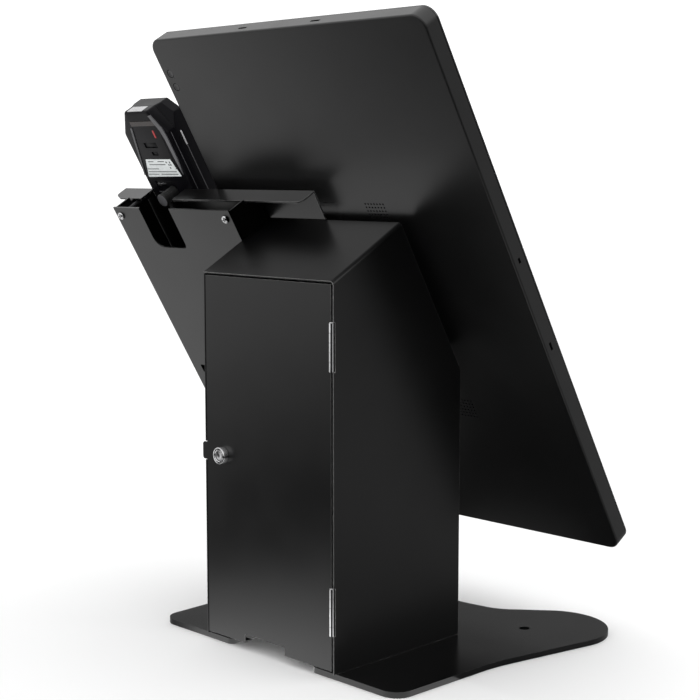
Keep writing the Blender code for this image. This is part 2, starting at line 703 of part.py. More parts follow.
def make_hinge(which, hinge_frame):
    """A butt hinge: the frame leaf holds the odd knuckles and the door leaf the even ones, on one pin."""
    centre = HINGE_CENTRES[which]
    low = centre - HINGE_HEIGHT / 2
    pitch = HINGE_HEIGHT / KNUCKLES
    bore = HINGE_PIN_RADIUS + HINGE_PIN_PLAY
    leaves = {
        "frame": (-HALF + SHEET + GAP, 0, None, Vector((0, 0, 0))),
        "door": (DOOR_HINGE_EDGE - GAP - LEAF_THICKNESS, 1, hinge_frame, HINGE_AXIS),
    }
    for side, (leaf_x, first, parent, origin) in leaves.items():
        leaf_low = Vector((leaf_x, HINGE_AXIS.y - LEAF_DEPTH, low + GAP))
        leaf_rear = HINGE_AXIS.y - LEAF_CLEAR_OF_AXIS
        leaf_high = Vector((leaf_x + LEAF_THICKNESS, leaf_rear, low + HINGE_HEIGHT - GAP))
        leaf = block(leaf_low - origin, leaf_high - origin)
        obj = add_part(f"hinge_{which}_{side}_leaf", leaf, "steel", parent)
        own = []
        other = []
        for knuckle in range(KNUCKLES):
            bottom = Vector((HINGE_AXIS.x, HINGE_AXIS.y, low + pitch * knuckle + GAP / 2)) - origin
            top = bottom + Vector((0, 0, pitch - GAP))
            if knuckle % 2 == first:
                own.append(rod(bottom, top, KNUCKLE_RADIUS, 12))
            else:
                clear = Vector((0, 0, GAP))
                other.append(rod(bottom - clear, top + clear, KNUCKLE_RADIUS + GAP, 12))
        pin_low = Vector((HINGE_AXIS.x, HINGE_AXIS.y, low - KNUCKLE_RADIUS)) - origin
        pin_hole = rod(pin_low, pin_low + Vector((0, 0, HINGE_HEIGHT + 2 * KNUCKLE_RADIUS)), bore, 12)
        cut(obj, "knuckles", joined(own), "UNION")
        cut(obj, "room_for_other_leaf", joined(other))
        cut(obj, "pin_hole", pin_hole)
    start = (HINGE_AXIS.x, HINGE_AXIS.y, low + GAP)
    end = (HINGE_AXIS.x, HINGE_AXIS.y, low + HINGE_HEIGHT - GAP)
    add_part(f"hinge_{which}_pin", rod(start, end, HINGE_PIN_RADIUS, 12), "steel")


def make_lock(hinge_frame):
    """A cam lock: the body and its nut stay on the door, the plug and the cam turn."""
    spot = LOCK_AXIS - Vector((HINGE_AXIS.x, HINGE_AXIS.y, 0))
    out = (0, 1, 0)
    plug_radius = LOCK_PLUG_RADIUS
    bore = plug_radius + GAP
    back = -LOCK_DEPTH
    chamfer = 0.8 * MM
    body = [
        (bore, LOCK_PROUD), (LOCK_FACE_RADIUS - chamfer, LOCK_PROUD), (LOCK_FACE_RADIUS, LOCK_PROUD - chamfer),
        (LOCK_FACE_RADIUS, GAP), (LOCK_BARREL_RADIUS, GAP), (LOCK_BARREL_RADIUS, back), (bore, back),
    ]
    add_turned("lock_body", body, "chrome", spot, out, hinge_frame, closed=True)
    nut_bore = LOCK_BARREL_RADIUS + GAP
    nut_high = -SHEET - GAP
    nut_low = nut_high - LOCK_NUT_THICKNESS
    nut = [(nut_bore, nut_high), (LOCK_NUT_RADIUS, nut_high), (LOCK_NUT_RADIUS, nut_low), (nut_bore, nut_low)]
    add_turned("lock_nut", nut, "steel", spot, out, hinge_frame, closed=True)
    lock_frame = add_frame("lock_axis", spot, parent=hinge_frame)
    bevel = 0.4 * MM
    face = LOCK_PROUD - bevel
    end = back - LOCK_NUT_THICKNESS
    plug = [(0, face), (plug_radius - bevel, face), (plug_radius, face - bevel), (plug_radius, end), (0, end)]
    plug_obj = add_turned("lock_plug", plug, "chrome", (0, 0, 0), out, lock_frame)
    keyway_half = Vector((0.7 * MM, 2.5 * MM, 3 * MM))
    keyway_centre = Vector((0, face, 0))
    cut(plug_obj, "keyway", block(keyway_centre - keyway_half, keyway_centre + keyway_half))
    shoulder = 5 * MM
    tip = 2 * MM
    cam_outline = rounded([
        (-CAM_HALF_WIDTH, CAM_HALF_WIDTH, shoulder), (-CAM_HALF_WIDTH, -CAM_LENGTH, tip),
        (CAM_HALF_WIDTH, -CAM_LENGTH, tip), (CAM_HALF_WIDTH, CAM_HALF_WIDTH, shoulder),
    ])
    cam_low = GAP - end
    add_part("lock_cam", plate([cam_outline], cam_low, cam_low + LOCK_NUT_THICKNESS, BACK), "steel", lock_frame)


# ---------------------------------------------------------------- display


def mount_spots():
    half = VESA_PITCH / 2
    return [(DISPLAY_CENTRE.x + i * half, DISPLAY_CENTRE.y + j * half) for j in (-1, 1) for i in (-1, 1)]


def mount_hole_tools(in_world=False):
    """Clearance holes for the display's screws, in the slope frame or the world."""
    tools = []
    for x, up in mount_spots():
        tool = rod((x, up, -4 * HOLDER_SHEET), (x, up, SCREW_END + GAP), SCREW_HOLE_RADIUS, 16)
        if in_world:
            tool.transform(SLOPE_FRAME_MATRIX)
        tools.append(tool)
    return tools


def make_mount(slope):
    """The spacer between the holder plate and the display, and the four screws that hold both."""
    x = DISPLAY_CENTRE.x
    up = DISPLAY_CENTRE.y
    outer, inner = SPACER_HALF_SIZES
    outline = rectangle(x - outer, x + outer, up - outer, up + outer, SPACER_CORNER)
    window = rectangle(x - inner, x + inner, up - inner, up + inner, SPACER_CORNER)
    low = GAP + HOLDER_SHEET + GAP
    spacer = add_part("display_spacer", plate([outline, window], low, DISPLAY_BACK - GAP), "powder_coat", slope)
    cut(spacer, "mount_holes", joined(mount_hole_tools()))
    head_top = -SHEET - GAP
    crown = head_top - SCREW_HEAD_HEIGHT
    for index, (screw_x, screw_up) in enumerate(mount_spots(), start=1):
        profile = [
            (0, SCREW_END), (SCREW_RADIUS, SCREW_END), (SCREW_RADIUS, head_top), (SCREW_HEAD_RADIUS, head_top),
            (SCREW_HEAD_RADIUS, 0.4 * head_top + 0.6 * crown), (0.6 * SCREW_HEAD_RADIUS, crown), (0, crown),
        ]
        spot = (screw_x, screw_up, 0)
        add_turned(f"display_screw_{index}", profile, "steel", spot, (0, 0, 1), slope, steps=16)


def display_outline(inset, steps=6):
    return rounded([
        (DISPLAY_LEFT + inset, DISPLAY_LOW + inset, DISPLAY_CORNER - inset),
        (DISPLAY_RIGHT - inset, DISPLAY_LOW + inset, DISPLAY_CORNER - inset),
        (DISPLAY_RIGHT - inset, DISPLAY_HIGH - inset, DISPLAY_CORNER - inset),
        (DISPLAY_LEFT + inset, DISPLAY_HIGH - inset, DISPLAY_CORNER - inset),
    ], steps)


def make_display(slope):
    """Rear housing, glass, LCD panel, main board, port cover and the two push buttons."""
    chamfer = 2 * MM
    front = DISPLAY_BACK + DISPLAY_DEPTH
    glass_back = front - GLASS_THICKNESS
    rings = [
        (display_outline(chamfer), DISPLAY_BACK),
        (display_outline(0), DISPLAY_BACK + chamfer),
        (display_outline(0), glass_back - GAP),
    ]
    pan = ring_surface(rings, (0, 0, -1))
    housing = thicken(add_part("display_rear_housing", pan, "display_plastic", slope),
                      HOUSING_WALL)
    outside = DISPLAY_BACK - HOUSING_WALL
    inside = DISPLAY_BACK + 2 * HOUSING_WALL
    button_holes = [
        rod((x, up, outside), (x, up, inside), BUTTON_RADIUS + GAP) for x, up in BUTTON_SPOTS.values()
    ]
    port_low_x, port_high_x, port_low, port_high = PORT_BAY
    port_hole = block((port_low_x, port_low, outside), (port_high_x, port_high, inside))
    cut(housing, "openings", joined([*button_holes, port_hole, *mount_hole_tools()]))

    add_part("touch_glass", plate([display_outline(0)], glass_back, front), "glass", slope)
    edge = LCD_MARGIN
    lcd_outline = rectangle(
        DISPLAY_LEFT + edge, DISPLAY_RIGHT - edge, DISPLAY_LOW + edge, DISPLAY_HIGH - edge, chamfer
    )
    add_part("lcd_panel", plate([lcd_outline], glass_back - LCD_THICKNESS, glass_back - GAP), "lcd", slope)
    rim = 4 * MM
    board_low = (port_low_x - rim, port_low - BOARD_BELOW_PORTS, BOARD_BACK)
    board_high = (port_high_x + rim, port_high + rim, BOARD_BACK + BOARD_THICKNESS)
    add_part("main_board", block(board_low, board_high), "circuit_board", slope)

    clear = 0.5 * MM
    cover_outline = rectangle(port_low_x + clear, port_high_x - clear, port_low + clear, port_high - clear)
    cover = plate([cover_outline], DISPLAY_BACK + GAP, DISPLAY_BACK + HOUSING_WALL - GAP)
    add_part("port_cover", cover, "display_plastic", slope)
    for name, (x, up) in BUTTON_SPOTS.items():
        make_push_button(name, x, up, slope)


def make_push_button(name, x, up, slope):
    """A round button in a hole in the housing's back, just below its face."""
    face = -0.2 * MM
    end = -BUTTON_LENGTH
    bevel = 0.5 * MM
    profile = [
        (0, face), (BUTTON_RADIUS - bevel, face), (BUTTON_RADIUS, face - bevel), (BUTTON_RADIUS, end), (0, end),
    ]
    add_turned(name, profile, "display_plastic", (x, up, DISPLAY_BACK), (0, 0, -1), slope)


# ---------------------------------------------------------------- terminal holder


def make_holder(slope):
    """The plate between the column and the display, with a lip bent back along its top."""
    root_low, root_high = HOLDER_ROOT_HEIGHTS
    shoulder_low, shoulder_high = HOLDER_SHOULDER
    notch_low_x, notch_high_x = LIP_NOTCH
    notch_low = HOLDER_TOP - LIP_NOTCH_DEPTH
    corner = HOLDER_CORNER
    bend = HOLDER_SHOULDER_RADIUS
    plate_outline = rounded([
        (HOLDER_LEFT, HOLDER_TOP), (HOLDER_LEFT, root_high), (HOLDER_ROOT_LEFT, root_high, corner),
        (HOLDER_ROOT_LEFT, root_low, corner), (HOLDER_ROOT_RIGHT, root_low),
        (HOLDER_ROOT_RIGHT, HOLDER_BOTTOM, corner), (COVER_RIGHT, HOLDER_BOTTOM, corner),
        (COVER_RIGHT, shoulder_low, bend), (HOLDER_RIGHT, shoulder_high, bend), (HOLDER_RIGHT, HOLDER_TOP),
        (notch_high_x, HOLDER_TOP), (notch_high_x, notch_low, LIP_NOTCH_CORNER),
        (notch_low_x, notch_low, LIP_NOTCH_CORNER), (notch_low_x, HOLDER_TOP),
    ])
    front = GAP + HOLDER_SHEET
    holder = add_part("terminal_holder", plate([plate_outline], GAP, front), "powder_coat", slope)
    chamfer_x, chamfer_depth = LIP_CHAMFER
    lips = [
        rounded([(HOLDER_LEFT, -front), (notch_low_x, -front), (notch_low_x, LIP_DEPTH),
                 (HOLDER_LEFT, LIP_DEPTH, corner)]),
        rounded([(notch_high_x, -front), (HOLDER_RIGHT, -front),
                 (HOLDER_RIGHT, LIP_DEPTH - chamfer_depth, LIP_CHAMFER_RADIUS),
                 (HOLDER_RIGHT - chamfer_x, LIP_DEPTH, LIP_CHAMFER_RADIUS), (notch_high_x, LIP_DEPTH)]),
    ]
    lip_meshes = [plate([outline], HOLDER_TOP - HOLDER_SHEET, HOLDER_TOP, LEVEL) for outline in lips]
    cut(holder, "lip", joined(lip_meshes), "UNION")
    cut(holder, "mount_holes", joined(mount_hole_tools()))


def grommet_centre():
    return from_slope(HALF, *GROMMET_SPOT)


def make_cable_cover(slope):
    """The box behind the holder plate: a back with an open slot, and walls left, right and below."""
    slot_low, slot_high, slot_bottom = COVER_SLOT
    outline = rounded([
        (COVER_LEFT, HOLDER_BOTTOM), (COVER_RIGHT, HOLDER_BOTTOM), (COVER_RIGHT, COVER_TOP),
        (slot_high, COVER_TOP), (slot_high, slot_bottom, COVER_SLOT_RADII[1]),
        (slot_low, slot_bottom, COVER_SLOT_RADII[0]), (slot_low, COVER_TOP), (COVER_LEFT, COVER_TOP),
    ])
    hole = rectangle(*COVER_HOLE, COVER_HOLE_CORNER)
    back = plate([outline, hole], -COVER_DEPTH, HOLDER_SHEET - COVER_DEPTH)
    cover = add_part("cable_cover", back, "powder_coat", slope)
    behind_lip = -LIP_DEPTH - HOLDER_SHEET
    wall_top = COVER_TOP - 1.5 * MM
    under_lip = HOLDER_TOP - 1.5 * HOLDER_SHEET
    wall_outline = [
        (HOLDER_BOTTOM, -COVER_DEPTH), (wall_top, -COVER_DEPTH), (wall_top, behind_lip), (under_lip, behind_lip),
        (under_lip, -GAP), (HOLDER_BOTTOM, -GAP),
    ]
    walls = [
        plate([wall_outline], COVER_LEFT, COVER_LEFT + HOLDER_SHEET, SIDE),
        plate([wall_outline], COVER_RIGHT - HOLDER_SHEET, COVER_RIGHT, SIDE),
        block((COVER_LEFT, HOLDER_BOTTOM, -COVER_DEPTH), (COVER_RIGHT, HOLDER_BOTTOM + HOLDER_SHEET, -GAP)),
    ]
    for index, wall in enumerate(walls):
        cut(cover, f"wall_{index}", wall, "UNION")
    up, behind = GROMMET_SPOT
    through = 2 * HOLDER_SHEET
    grommet_hole = rod((COVER_LEFT - through, up, -behind), (COVER_LEFT + through, up, -behind),
                       GROMMET_HOLE_RADIUS + GAP)
    low = -COVER_DEPTH - through
    high = -COVER_DEPTH + through
    screw_holes = [
        rod((x, screw_up, low), (x, screw_up, high), SCREW_HOLE_RADIUS, 16) for x, screw_up in COVER_SCREWS.values()
    ]
    cut(cover, "holes", joined([grommet_hole, *screw_holes]))


def make_cover_fixings(slope):
    """A standoff and a screw at each top corner, the lead clip's screw and the terminal's fixing screw."""
    inside = HOLDER_SHEET + GAP - COVER_DEPTH
    bore, post = STANDOFF_RADII
    standoff = [(bore, -GAP), (post, -GAP), (post, inside), (bore, inside)]
    for side, (x, up) in COVER_SCREWS.items():
        name = f"cover_standoff_{side}"
        add_turned(name, standoff, "steel", (x, up, 0), (0, 0, 1), slope, closed=True, steps=16)
        add_pan_head(f"cover_screw_{side}", x, up, -COVER_DEPTH - GAP, COVER_SCREW_SHANK, slope)
    clip_x, clip_up = LEAD_CLIP_SPOT
    add_pan_head("lead_clip_screw", clip_x, clip_up, inside + SCREW_HEAD_RADIUS, LEAD_CLIP_SHANK, slope)
    add_pan_head("terminal_fixing_screw", TERMINAL_CENTRE, TERMINAL_FIXING_UP, -GAP, 0, slope)


def add_pan_head(name, x, up, seat, shank_length, slope):
    """A pan head screw that goes in from behind: its head's seat is at a height, its shank runs forward."""
    head = SCREW_HEAD_RADIUS
    tall = SCREW_HEAD_HEIGHT
    profile = [
        (0, tall), (0.55 * head, tall), (0.85 * head, 0.78 * tall), (head, 0.4 * tall), (head, 0),
    ]
    if shank_length:
        profile += [(SCREW_RADIUS, 0), (SCREW_RADIUS, -shank_length), (0, -shank_length)]
    else:
        profile.append((0, 0))
    add_turned(name, profile, "chrome", (x, up, seat), (0, 0, -1), slope, steps=16)


def make_grommet():
    """A rubber ring through the side panel and the cover's wall."""
    centre = grommet_centre()
    inner = HALF - SHEET - GAP - centre.x
    outer = COVER_LEFT + HOLDER_SHEET + GAP - centre.x
    flange = 1.5 * MM
    wide = GROMMET_HOLE_RADIUS + 2.5 * MM
    waist = GROMMET_HOLE_RADIUS - 0.1 * MM
    bore = 6 * MM
    profile = [
        (bore, outer + flange), (wide, outer + flange), (wide, outer), (waist, outer),
        (waist, inner), (wide, inner), (wide, inner - flange), (bore, inner - flange),
    ]
    add_turned("cable_grommet", profile, "rubber", centre, (1, 0, 0), closed=True, steps=24)


# ---------------------------------------------------------------- payment terminal


def terminal_outline(inset, cut_away=TERMINAL_SHOULDER):
    """A long body with its top corners cut away and its foot corners rounded."""
    half = TERMINAL_HALF_WIDTH - inset
    top = TERMINAL_TOP - inset
    bottom = TERMINAL_BOTTOM + inset
    corner = 4 * MM
    foot = TERMINAL_FOOT_RADIUS - inset
    half_top = half - cut_away[0]
    shoulder = top - cut_away[1]
    corners = [
        (half, bottom, foot), (half, shoulder, corner), (half_top, top, corner),
        (-half_top, top, corner), (-half, shoulder, corner), (-half, bottom, foot),
    ]
    return rounded([(TERMINAL_CENTRE + x, up, radius) for x, up, radius in corners], steps=3)


def key_spots():
    for row in range(KEY_ROWS):
        for column in range(KEY_COLUMNS):
            x = TERMINAL_CENTRE + (column - 1) * KEY_PITCH[0]
            yield KEY_NAMES[row][column], x, KEY_FIRST_ROW + row * KEY_PITCH[1]


def make_terminal(slope):
    """Rear and front housings as two shells, with the board, the lens and the keys."""
    back_rings = [
        (terminal_outline(2.5 * MM), TERMINAL_BACK), (terminal_outline(0), TERMINAL_BACK + 2.5 * MM),
        (terminal_outline(0), TERMINAL_SEAM - GAP),
    ]
    back_mesh = ring_surface(back_rings, (0, 0, -1))
    back = thicken(add_part("terminal_rear_housing", back_mesh, "terminal_plastic", slope), TERMINAL_WALL)
    plug_x, plug_up = PLUG_SPOT
    outside = TERMINAL_BACK - TERMINAL_WALL
    inside = TERMINAL_BACK + 2 * TERMINAL_WALL
    socket = rod((plug_x, plug_up, outside), (plug_x, plug_up, inside), SOCKET_RADIUS)
    cut(back, "socket", socket)
    front_rings = [
        (terminal_outline(1.5 * MM, TERMINAL_FRONT_SHOULDER), TERMINAL_FRONT),
        (terminal_outline(0, TERMINAL_FRONT_SHOULDER), TERMINAL_FRONT - 1.5 * MM),
        (terminal_outline(0, TERMINAL_FRONT_SHOULDER), TERMINAL_SEAM + TERMINAL_FLARE),
        (terminal_outline(0), TERMINAL_SEAM),
    ]
    front_mesh = ring_surface(front_rings, (0, 0, 1))
    front = add_part("terminal_front_housing", front_mesh, "terminal_plastic", slope)
    thicken(front, TERMINAL_WALL)
    above = TERMINAL_FRONT + TERMINAL_WALL
    key_half = Vector((KEY_SIZE[0] / 2, KEY_SIZE[1] / 2, 0))
    clear = Vector((0.4 * MM, 0.4 * MM, 0))
    wells = []
    for _, x, up in key_spots():
        low = Vector((x, up, TERMINAL_FRONT - 2 * TERMINAL_WALL)) - key_half - clear
        wells.append(block(low, Vector((x, up, above)) + key_half + clear))
    cut(front, "key_holes", joined(wells))
    lens_low = Vector((TERMINAL_CENTRE - LENS_HALF_WIDTH, LENS_HEIGHTS[0], TERMINAL_FRONT - LENS_RECESS))
    lens_high = Vector((TERMINAL_CENTRE + LENS_HALF_WIDTH, LENS_HEIGHTS[1], TERMINAL_FRONT))
    cut(front, "lens_pocket", block(lens_low, (lens_high.x, lens_high.y, above)))
    gap = Vector((GAP, GAP, 0))
    add_part("terminal_lens", block(lens_low + gap + Vector((0, 0, GAP)), lens_high - gap), "glass", slope)
    board_low = (TERMINAL_CENTRE - TERMINAL_BOARD_HALF_WIDTH, TERMINAL_BOARD_HEIGHTS[0], TERMINAL_BOARD_BACK)
    board_high = (TERMINAL_CENTRE + TERMINAL_BOARD_HALF_WIDTH, TERMINAL_BOARD_HEIGHTS[1],
                  TERMINAL_BOARD_BACK + BOARD_THICKNESS)
    add_part("terminal_board", block(board_low, board_high), "circuit_board", slope)
    for key, x, up in key_spots():
        foot = Vector((x, up, KEY_FOOT))
        cap = Vector((x, up, TERMINAL_FRONT + KEY_PROUD))
        key_mesh = block(foot - key_half, cap + key_half, bevel=0.8 * MM, segments=1)
        add_part(f"key_{key}", key_mesh, "key_plastic", slope, foot)


def make_plug_and_lead(slope):
    """The terminal's angled plug, and the lead that runs inside the cover into the cabinet."""
    x, up = PLUG_SPOT
    cap = PLUG_END - 2 * MM
    bevel = 0.6 * MM
    waist = PLUG_RADIUS - 0.5 * MM
    face = GAP - TERMINAL_BACK
    tip = -TERMINAL_BACK - 3 * MM
    body = [
        (0, PLUG_END), (PLUG_RADIUS - bevel, PLUG_END), (PLUG_RADIUS, PLUG_END - bevel), (PLUG_RADIUS, cap),
        (waist, cap), (waist, face), (PLUG_TIP_RADIUS, face), (PLUG_TIP_RADIUS, tip), (0, tip),
    ]
    add_turned("terminal_plug", body, "rubber", (x, up, 0), (0, 0, -1), slope, steps=24)
    exit_up = up - waist - GAP
    route = [
        from_slope(x, exit_up, 10 * MM),
        from_slope(x, exit_up - 15 * MM, 10 * MM),
        from_slope(250 * MM, 170 * MM, 14 * MM),
        from_slope(236 * MM, 128 * MM, 21 * MM),
        from_slope(205 * MM, 92 * MM, 25 * MM),
        from_slope(160 * MM, 68 * MM, 28 * MM),
        from_slope(120 * MM, 60 * MM, 30 * MM),
        from_slope(90 * MM, 60 * MM, 30 * MM),
        Vector((60 * MM, -41 * MM, 328 * MM)),
        Vector((38 * MM, -52 * MM, 303 * MM)),
        Vector((25 * MM, -66 * MM, 272 * MM)),
        Vector((20 * MM, -78 * MM, 250 * MM)),
        Vector((20 * MM, -80 * MM, INTERFACE_BOX_TOP + GAP)),
    ]
    add_lead("terminal_lead", smooth_route(route, 6 * LEAD_RADIUS), LEAD_RADIUS, "rubber")


# ---------------------------------------------------------------- inside the cabinet


def make_cabinet_contents():
    """The power adapter on the floor and the terminal's interface box on the front panel."""
    length, width, height = ADAPTER_SIZE
    low = Vector((-length / 2, ADAPTER_FRONT, FLOOR + GAP))
    adapter_mesh = block(low, low + Vector(ADAPTER_SIZE), bevel=3 * MM)
    adapter = add_part("power_adapter", adapter_mesh, "adapter_plastic")
    inlet_centre = low + Vector((length, width / 2, height / 2))
    inlet_half = Vector(INLET_HALF_SIZE)
    cut(adapter, "inlet", block(inlet_centre - inlet_half, inlet_centre + inlet_half))
    box_width, box_depth, box_height = INTERFACE_BOX_SIZE
    box_low = Vector((-box_width / 2, FRONT + SHEET + GAP, INTERFACE_BOX_TOP - box_height))
    box_high = box_low + Vector((box_width, box_depth, box_height))
    add_part("interface_box", block(box_low, box_high, bevel=2 * MM), "adapter_plastic")


clear_scene()
PARTS = new_collection("self_checkout_kiosk")
CUTTERS = new_collection("cutters")
CUTTERS.hide_render = True
SLOPE = add_frame("slope_frame", SLOPE_FOOT, (math.pi / 2 - TILT, 0, 0))
SLOPE_FRAME_MATRIX = Matrix.Translation(SLOPE_FOOT) @ Matrix.Rotation(math.pi / 2 - TILT, 4, "X")
HINGE_FRAME = add_frame("door_axis", HINGE_AXIS)

make_base()
make_column_shell()
make_side_panel()
make_front_panel()
make_strike()
make_door(HINGE_FRAME)
for which_hinge in HINGE_CENTRES:
    make_hinge(which_hinge, HINGE_FRAME)
make_lock(HINGE_FRAME)
make_mount(SLOPE)
make_display(SLOPE)
make_holder(SLOPE)
make_cable_cover(SLOPE)
make_cover_fixings(SLOPE)
make_grommet()
make_terminal(SLOPE)
make_plug_and_lead(SLOPE)
make_cabinet_contents()
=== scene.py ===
"""The looks of the self checkout kiosk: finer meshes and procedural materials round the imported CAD
frame, a plain pale floor, soft studio light and the camera.

The frame's +X is the customer's right, -Y is towards the customer and +Z is up. Pieces on the display
and on the terminal holder are made in the slope frame: x as in the world, y up the column's slope,
z out towards the customer."""

import json
import math

import bmesh
import bpy
from mathutils import Matrix, Vector

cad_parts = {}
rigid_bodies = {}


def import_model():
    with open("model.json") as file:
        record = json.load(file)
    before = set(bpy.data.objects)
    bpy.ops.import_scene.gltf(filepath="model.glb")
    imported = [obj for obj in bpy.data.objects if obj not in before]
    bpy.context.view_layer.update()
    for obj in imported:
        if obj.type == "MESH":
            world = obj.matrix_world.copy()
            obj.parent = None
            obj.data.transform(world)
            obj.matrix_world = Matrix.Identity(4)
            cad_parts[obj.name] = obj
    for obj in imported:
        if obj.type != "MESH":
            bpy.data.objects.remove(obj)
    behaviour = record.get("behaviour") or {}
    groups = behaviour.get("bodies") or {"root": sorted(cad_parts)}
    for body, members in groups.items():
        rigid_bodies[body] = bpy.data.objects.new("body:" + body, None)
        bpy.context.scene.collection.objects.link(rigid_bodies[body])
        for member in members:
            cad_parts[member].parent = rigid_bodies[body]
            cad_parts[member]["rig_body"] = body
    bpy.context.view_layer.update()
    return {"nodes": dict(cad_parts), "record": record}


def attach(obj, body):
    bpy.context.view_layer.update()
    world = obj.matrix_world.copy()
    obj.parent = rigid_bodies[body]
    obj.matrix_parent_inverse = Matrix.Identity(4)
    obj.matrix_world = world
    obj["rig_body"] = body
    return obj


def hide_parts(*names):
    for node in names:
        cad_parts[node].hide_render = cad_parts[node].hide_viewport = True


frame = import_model()

MM = 0.001
GAP = 0.3 * MM
MERGE = 1e-6  # points closer than this are one point
NODES = frame["nodes"]
SLOTS = {part["node"]: part["material_slot"] for part in frame["record"]["subparts"]}


def mm(*lengths):
    return tuple(length * MM for length in lengths)


# The slope that carries the display: its foot, and its run back and up to the column's ridge
SLOPE_FOOT = Vector((0, -95.85 * MM, 301.4 * MM))
SLOPE_RUN = 95.2 * MM
SLOPE_RISE = 160.3 * MM
TILT = math.atan2(SLOPE_RUN, SLOPE_RISE)
SLOPE = Matrix.Translation(SLOPE_FOOT) @ Matrix.Rotation(math.pi / 2 - TILT, 4, "X")
TO_SLOPE = SLOPE.inverted()

# Column, from the CAD: half its width, its rear face, its sheet, and its top's ends in y and z
COLUMN_HALF = 100 * MM
REAR = 95.85 * MM
RIDGE = mm(-0.65, 461.7)
REAR_TOP = (REAR, 406.2 * MM)
SHEET = 1.5 * MM

# Base plate, measured from the column's rear face
BASE_THICKNESS = 6 * MM
BASE_INSET = 3.5 * MM
BASE_REAR_HALF_WIDTH = 184.5 * MM
BASE_REAR_CORNER = 20 * MM
BASE_WAIST_HALF_WIDTH = 188.5 * MM
BASE_WAIST_FROM_REAR = 150 * MM
BASE_WAIST_RADIUS = 240 * MM
LOBE_HALF_WIDTH = 231.15 * MM
LOBE_INNER_HALF_WIDTH = 134 * MM
LOBE_FROM_REAR = 350.5 * MM
LOBE_RADIUS = 60.5 * MM
BASE_HOLLOW_HALF_WIDTH = 69.6 * MM
BASE_HOLLOW_FROM_REAR = 297 * MM
BASE_HOLLOW_RADIUS = 55 * MM
BASE_MIDDLE_FROM_REAR = 286.5 * MM
BASE_MIDDLE_RADIUS = 250 * MM
BASE_HOLE_SPOT = mm(138, 261)  # half spacing, from the rear
BASE_HOLE_RADIUS = 6 * MM
CUTOUT_HALF_WIDTH = 63 * MM
CUTOUT_DEPTH = 52 * MM
CUTOUT_RADII = mm(10, 6)  # inner and outer corners

# Hinges and lock
HINGE_AXIS = Vector((-97.45 * MM, REAR + 0.4 * MM, 0))
HINGE_CENTRES = {"lower": 71 * MM, "upper": 340.5 * MM}
HINGE_HEIGHT = 49 * MM
KNUCKLES = 5
KNUCKLE_RADIUS = 2.4 * MM
HINGE_PIN_RADIUS = 1.1 * MM
SEAM_WIDTH = 1.9 * MM  # where a knuckle's rolled edge stops short, showing the pin
LEAF_THICKNESS = 0.6 * MM
LEAF_DEPTH = 9.5 * MM
LEAF_CLEAR_OF_AXIS = 1.6 * MM
FRAME_LEAF_X = -98.2 * MM
DOOR_LEAF_X = -97.3 * MM
LOCK_AXIS = Vector((70 * MM, REAR, 210 * MM))
LOCK_FACE_RADIUS = 9.2 * MM
LOCK_BARREL_RADIUS = 8 * MM
LOCK_PLUG_RADIUS = 5.6 * MM
LOCK_PROUD = 7 * MM
LOCK_DEPTH = 14 * MM
NUT_RADIUS = 12 * MM
NUT_THICKNESS = 2 * MM
KEYWAY = mm(0.9, 4)  # width, height

# Display, in the slope frame
DISPLAY_CORNER = 15 * MM
HOUSING_WALL = 2.2 * MM
HOUSING_EDGE = 2 * MM
SCREEN_BORDER = 13 * MM
PORT_BAY = mm(3, 123, 145, 199.3)  # low x, high x, low up, high up
BUTTON_SPOTS = (mm(177.6, 362), mm(177.6, 345.5))
BUTTON_RADIUS = 4.6 * MM
GRILLES = (  # low x, low up, columns, rows, pitch, hole radius
    (-68 * MM, 181 * MM, 7, 5, 4.3 * MM, 1.1 * MM),
    (-79 * MM, -80 * MM, 6, 6, 4.4 * MM, 1.1 * MM),
)
TOP_SLOTS = (mm(-75, -62), mm(34, 46))  # low and high x
SIDE_SLOTS = (mm(20.6, 29.5), mm(127, 133))  # low and high up
SLOT_HALF_HEIGHT = 1.6 * MM

# Screws
SCREW_RADIUS = 1.95 * MM
SCREW_HOLE_RADIUS = 2.4 * MM
SCREW_HEAD_RADIUS = 4.8 * MM
SCREW_HEAD_HEIGHT = 2.7 * MM
SCREW_POINT = 0.4 * MM

# Payment terminal, in the slope frame
TERMINAL_BACK = 3 * MM
TERMINAL_WALL = 2.2 * MM
TERMINAL_SHOULDER = mm(18.5, 28)  # cut away from the rear's top corners: across, down
TERMINAL_FRONT_SHOULDER = mm(15.5, 13)
TERMINAL_FLARE = 8 * MM  # where the front's wider shoulders start, in front of the seam
TERMINAL_FOOT_RADIUS = 10 * MM
TERMINAL_POCKETS = (  # low x, high x, low up, high up
    mm(245, 268, 276, 283),
    mm(250, 261, 266, 271),
    mm(245, 281, 220, 232),
)
POCKET_DEPTH = 1.5 * MM
CONTACTS_START = 264 * MM
CONTACTS_LOW = 223.5 * MM
TERMINAL_LABEL = ((225.6, 238.1), (288.8, 237.2), (278.9, 261.1), (232.7, 260.8))  # in mm
LABEL_BARS = ((246, 258, 257.4), (266, 276, 257.4), (246, 276, 253.4), (262, 284, 247.6), (231, 284, 243.8),
              (230, 262, 240.4), (266, 286, 240.4))  # low x, high x, up, in mm
BAR_HEIGHT = 1.1  # in mm
LABEL_SQUARES = ((235, 252.4), (238.4, 252.4), (235, 255.6), (241.4, 255.8), (238, 248.4))  # x, up, mm
SQUARE_WIDTH = 2.2  # in mm
TOP_BADGES = {  # low x, high x, from and to below the top, how proud, all in mm, and the look
    "terminal_dark_step": (236, 275, 12, 3, 0.3, "terminal_dark"),
    "terminal_smoked_strip": (230, 275, 19, 13, 0.5, "terminal_brown"),
    "terminal_mark": (238.6, 241.4, 35, 25, 0.3, "red_mark"),
}
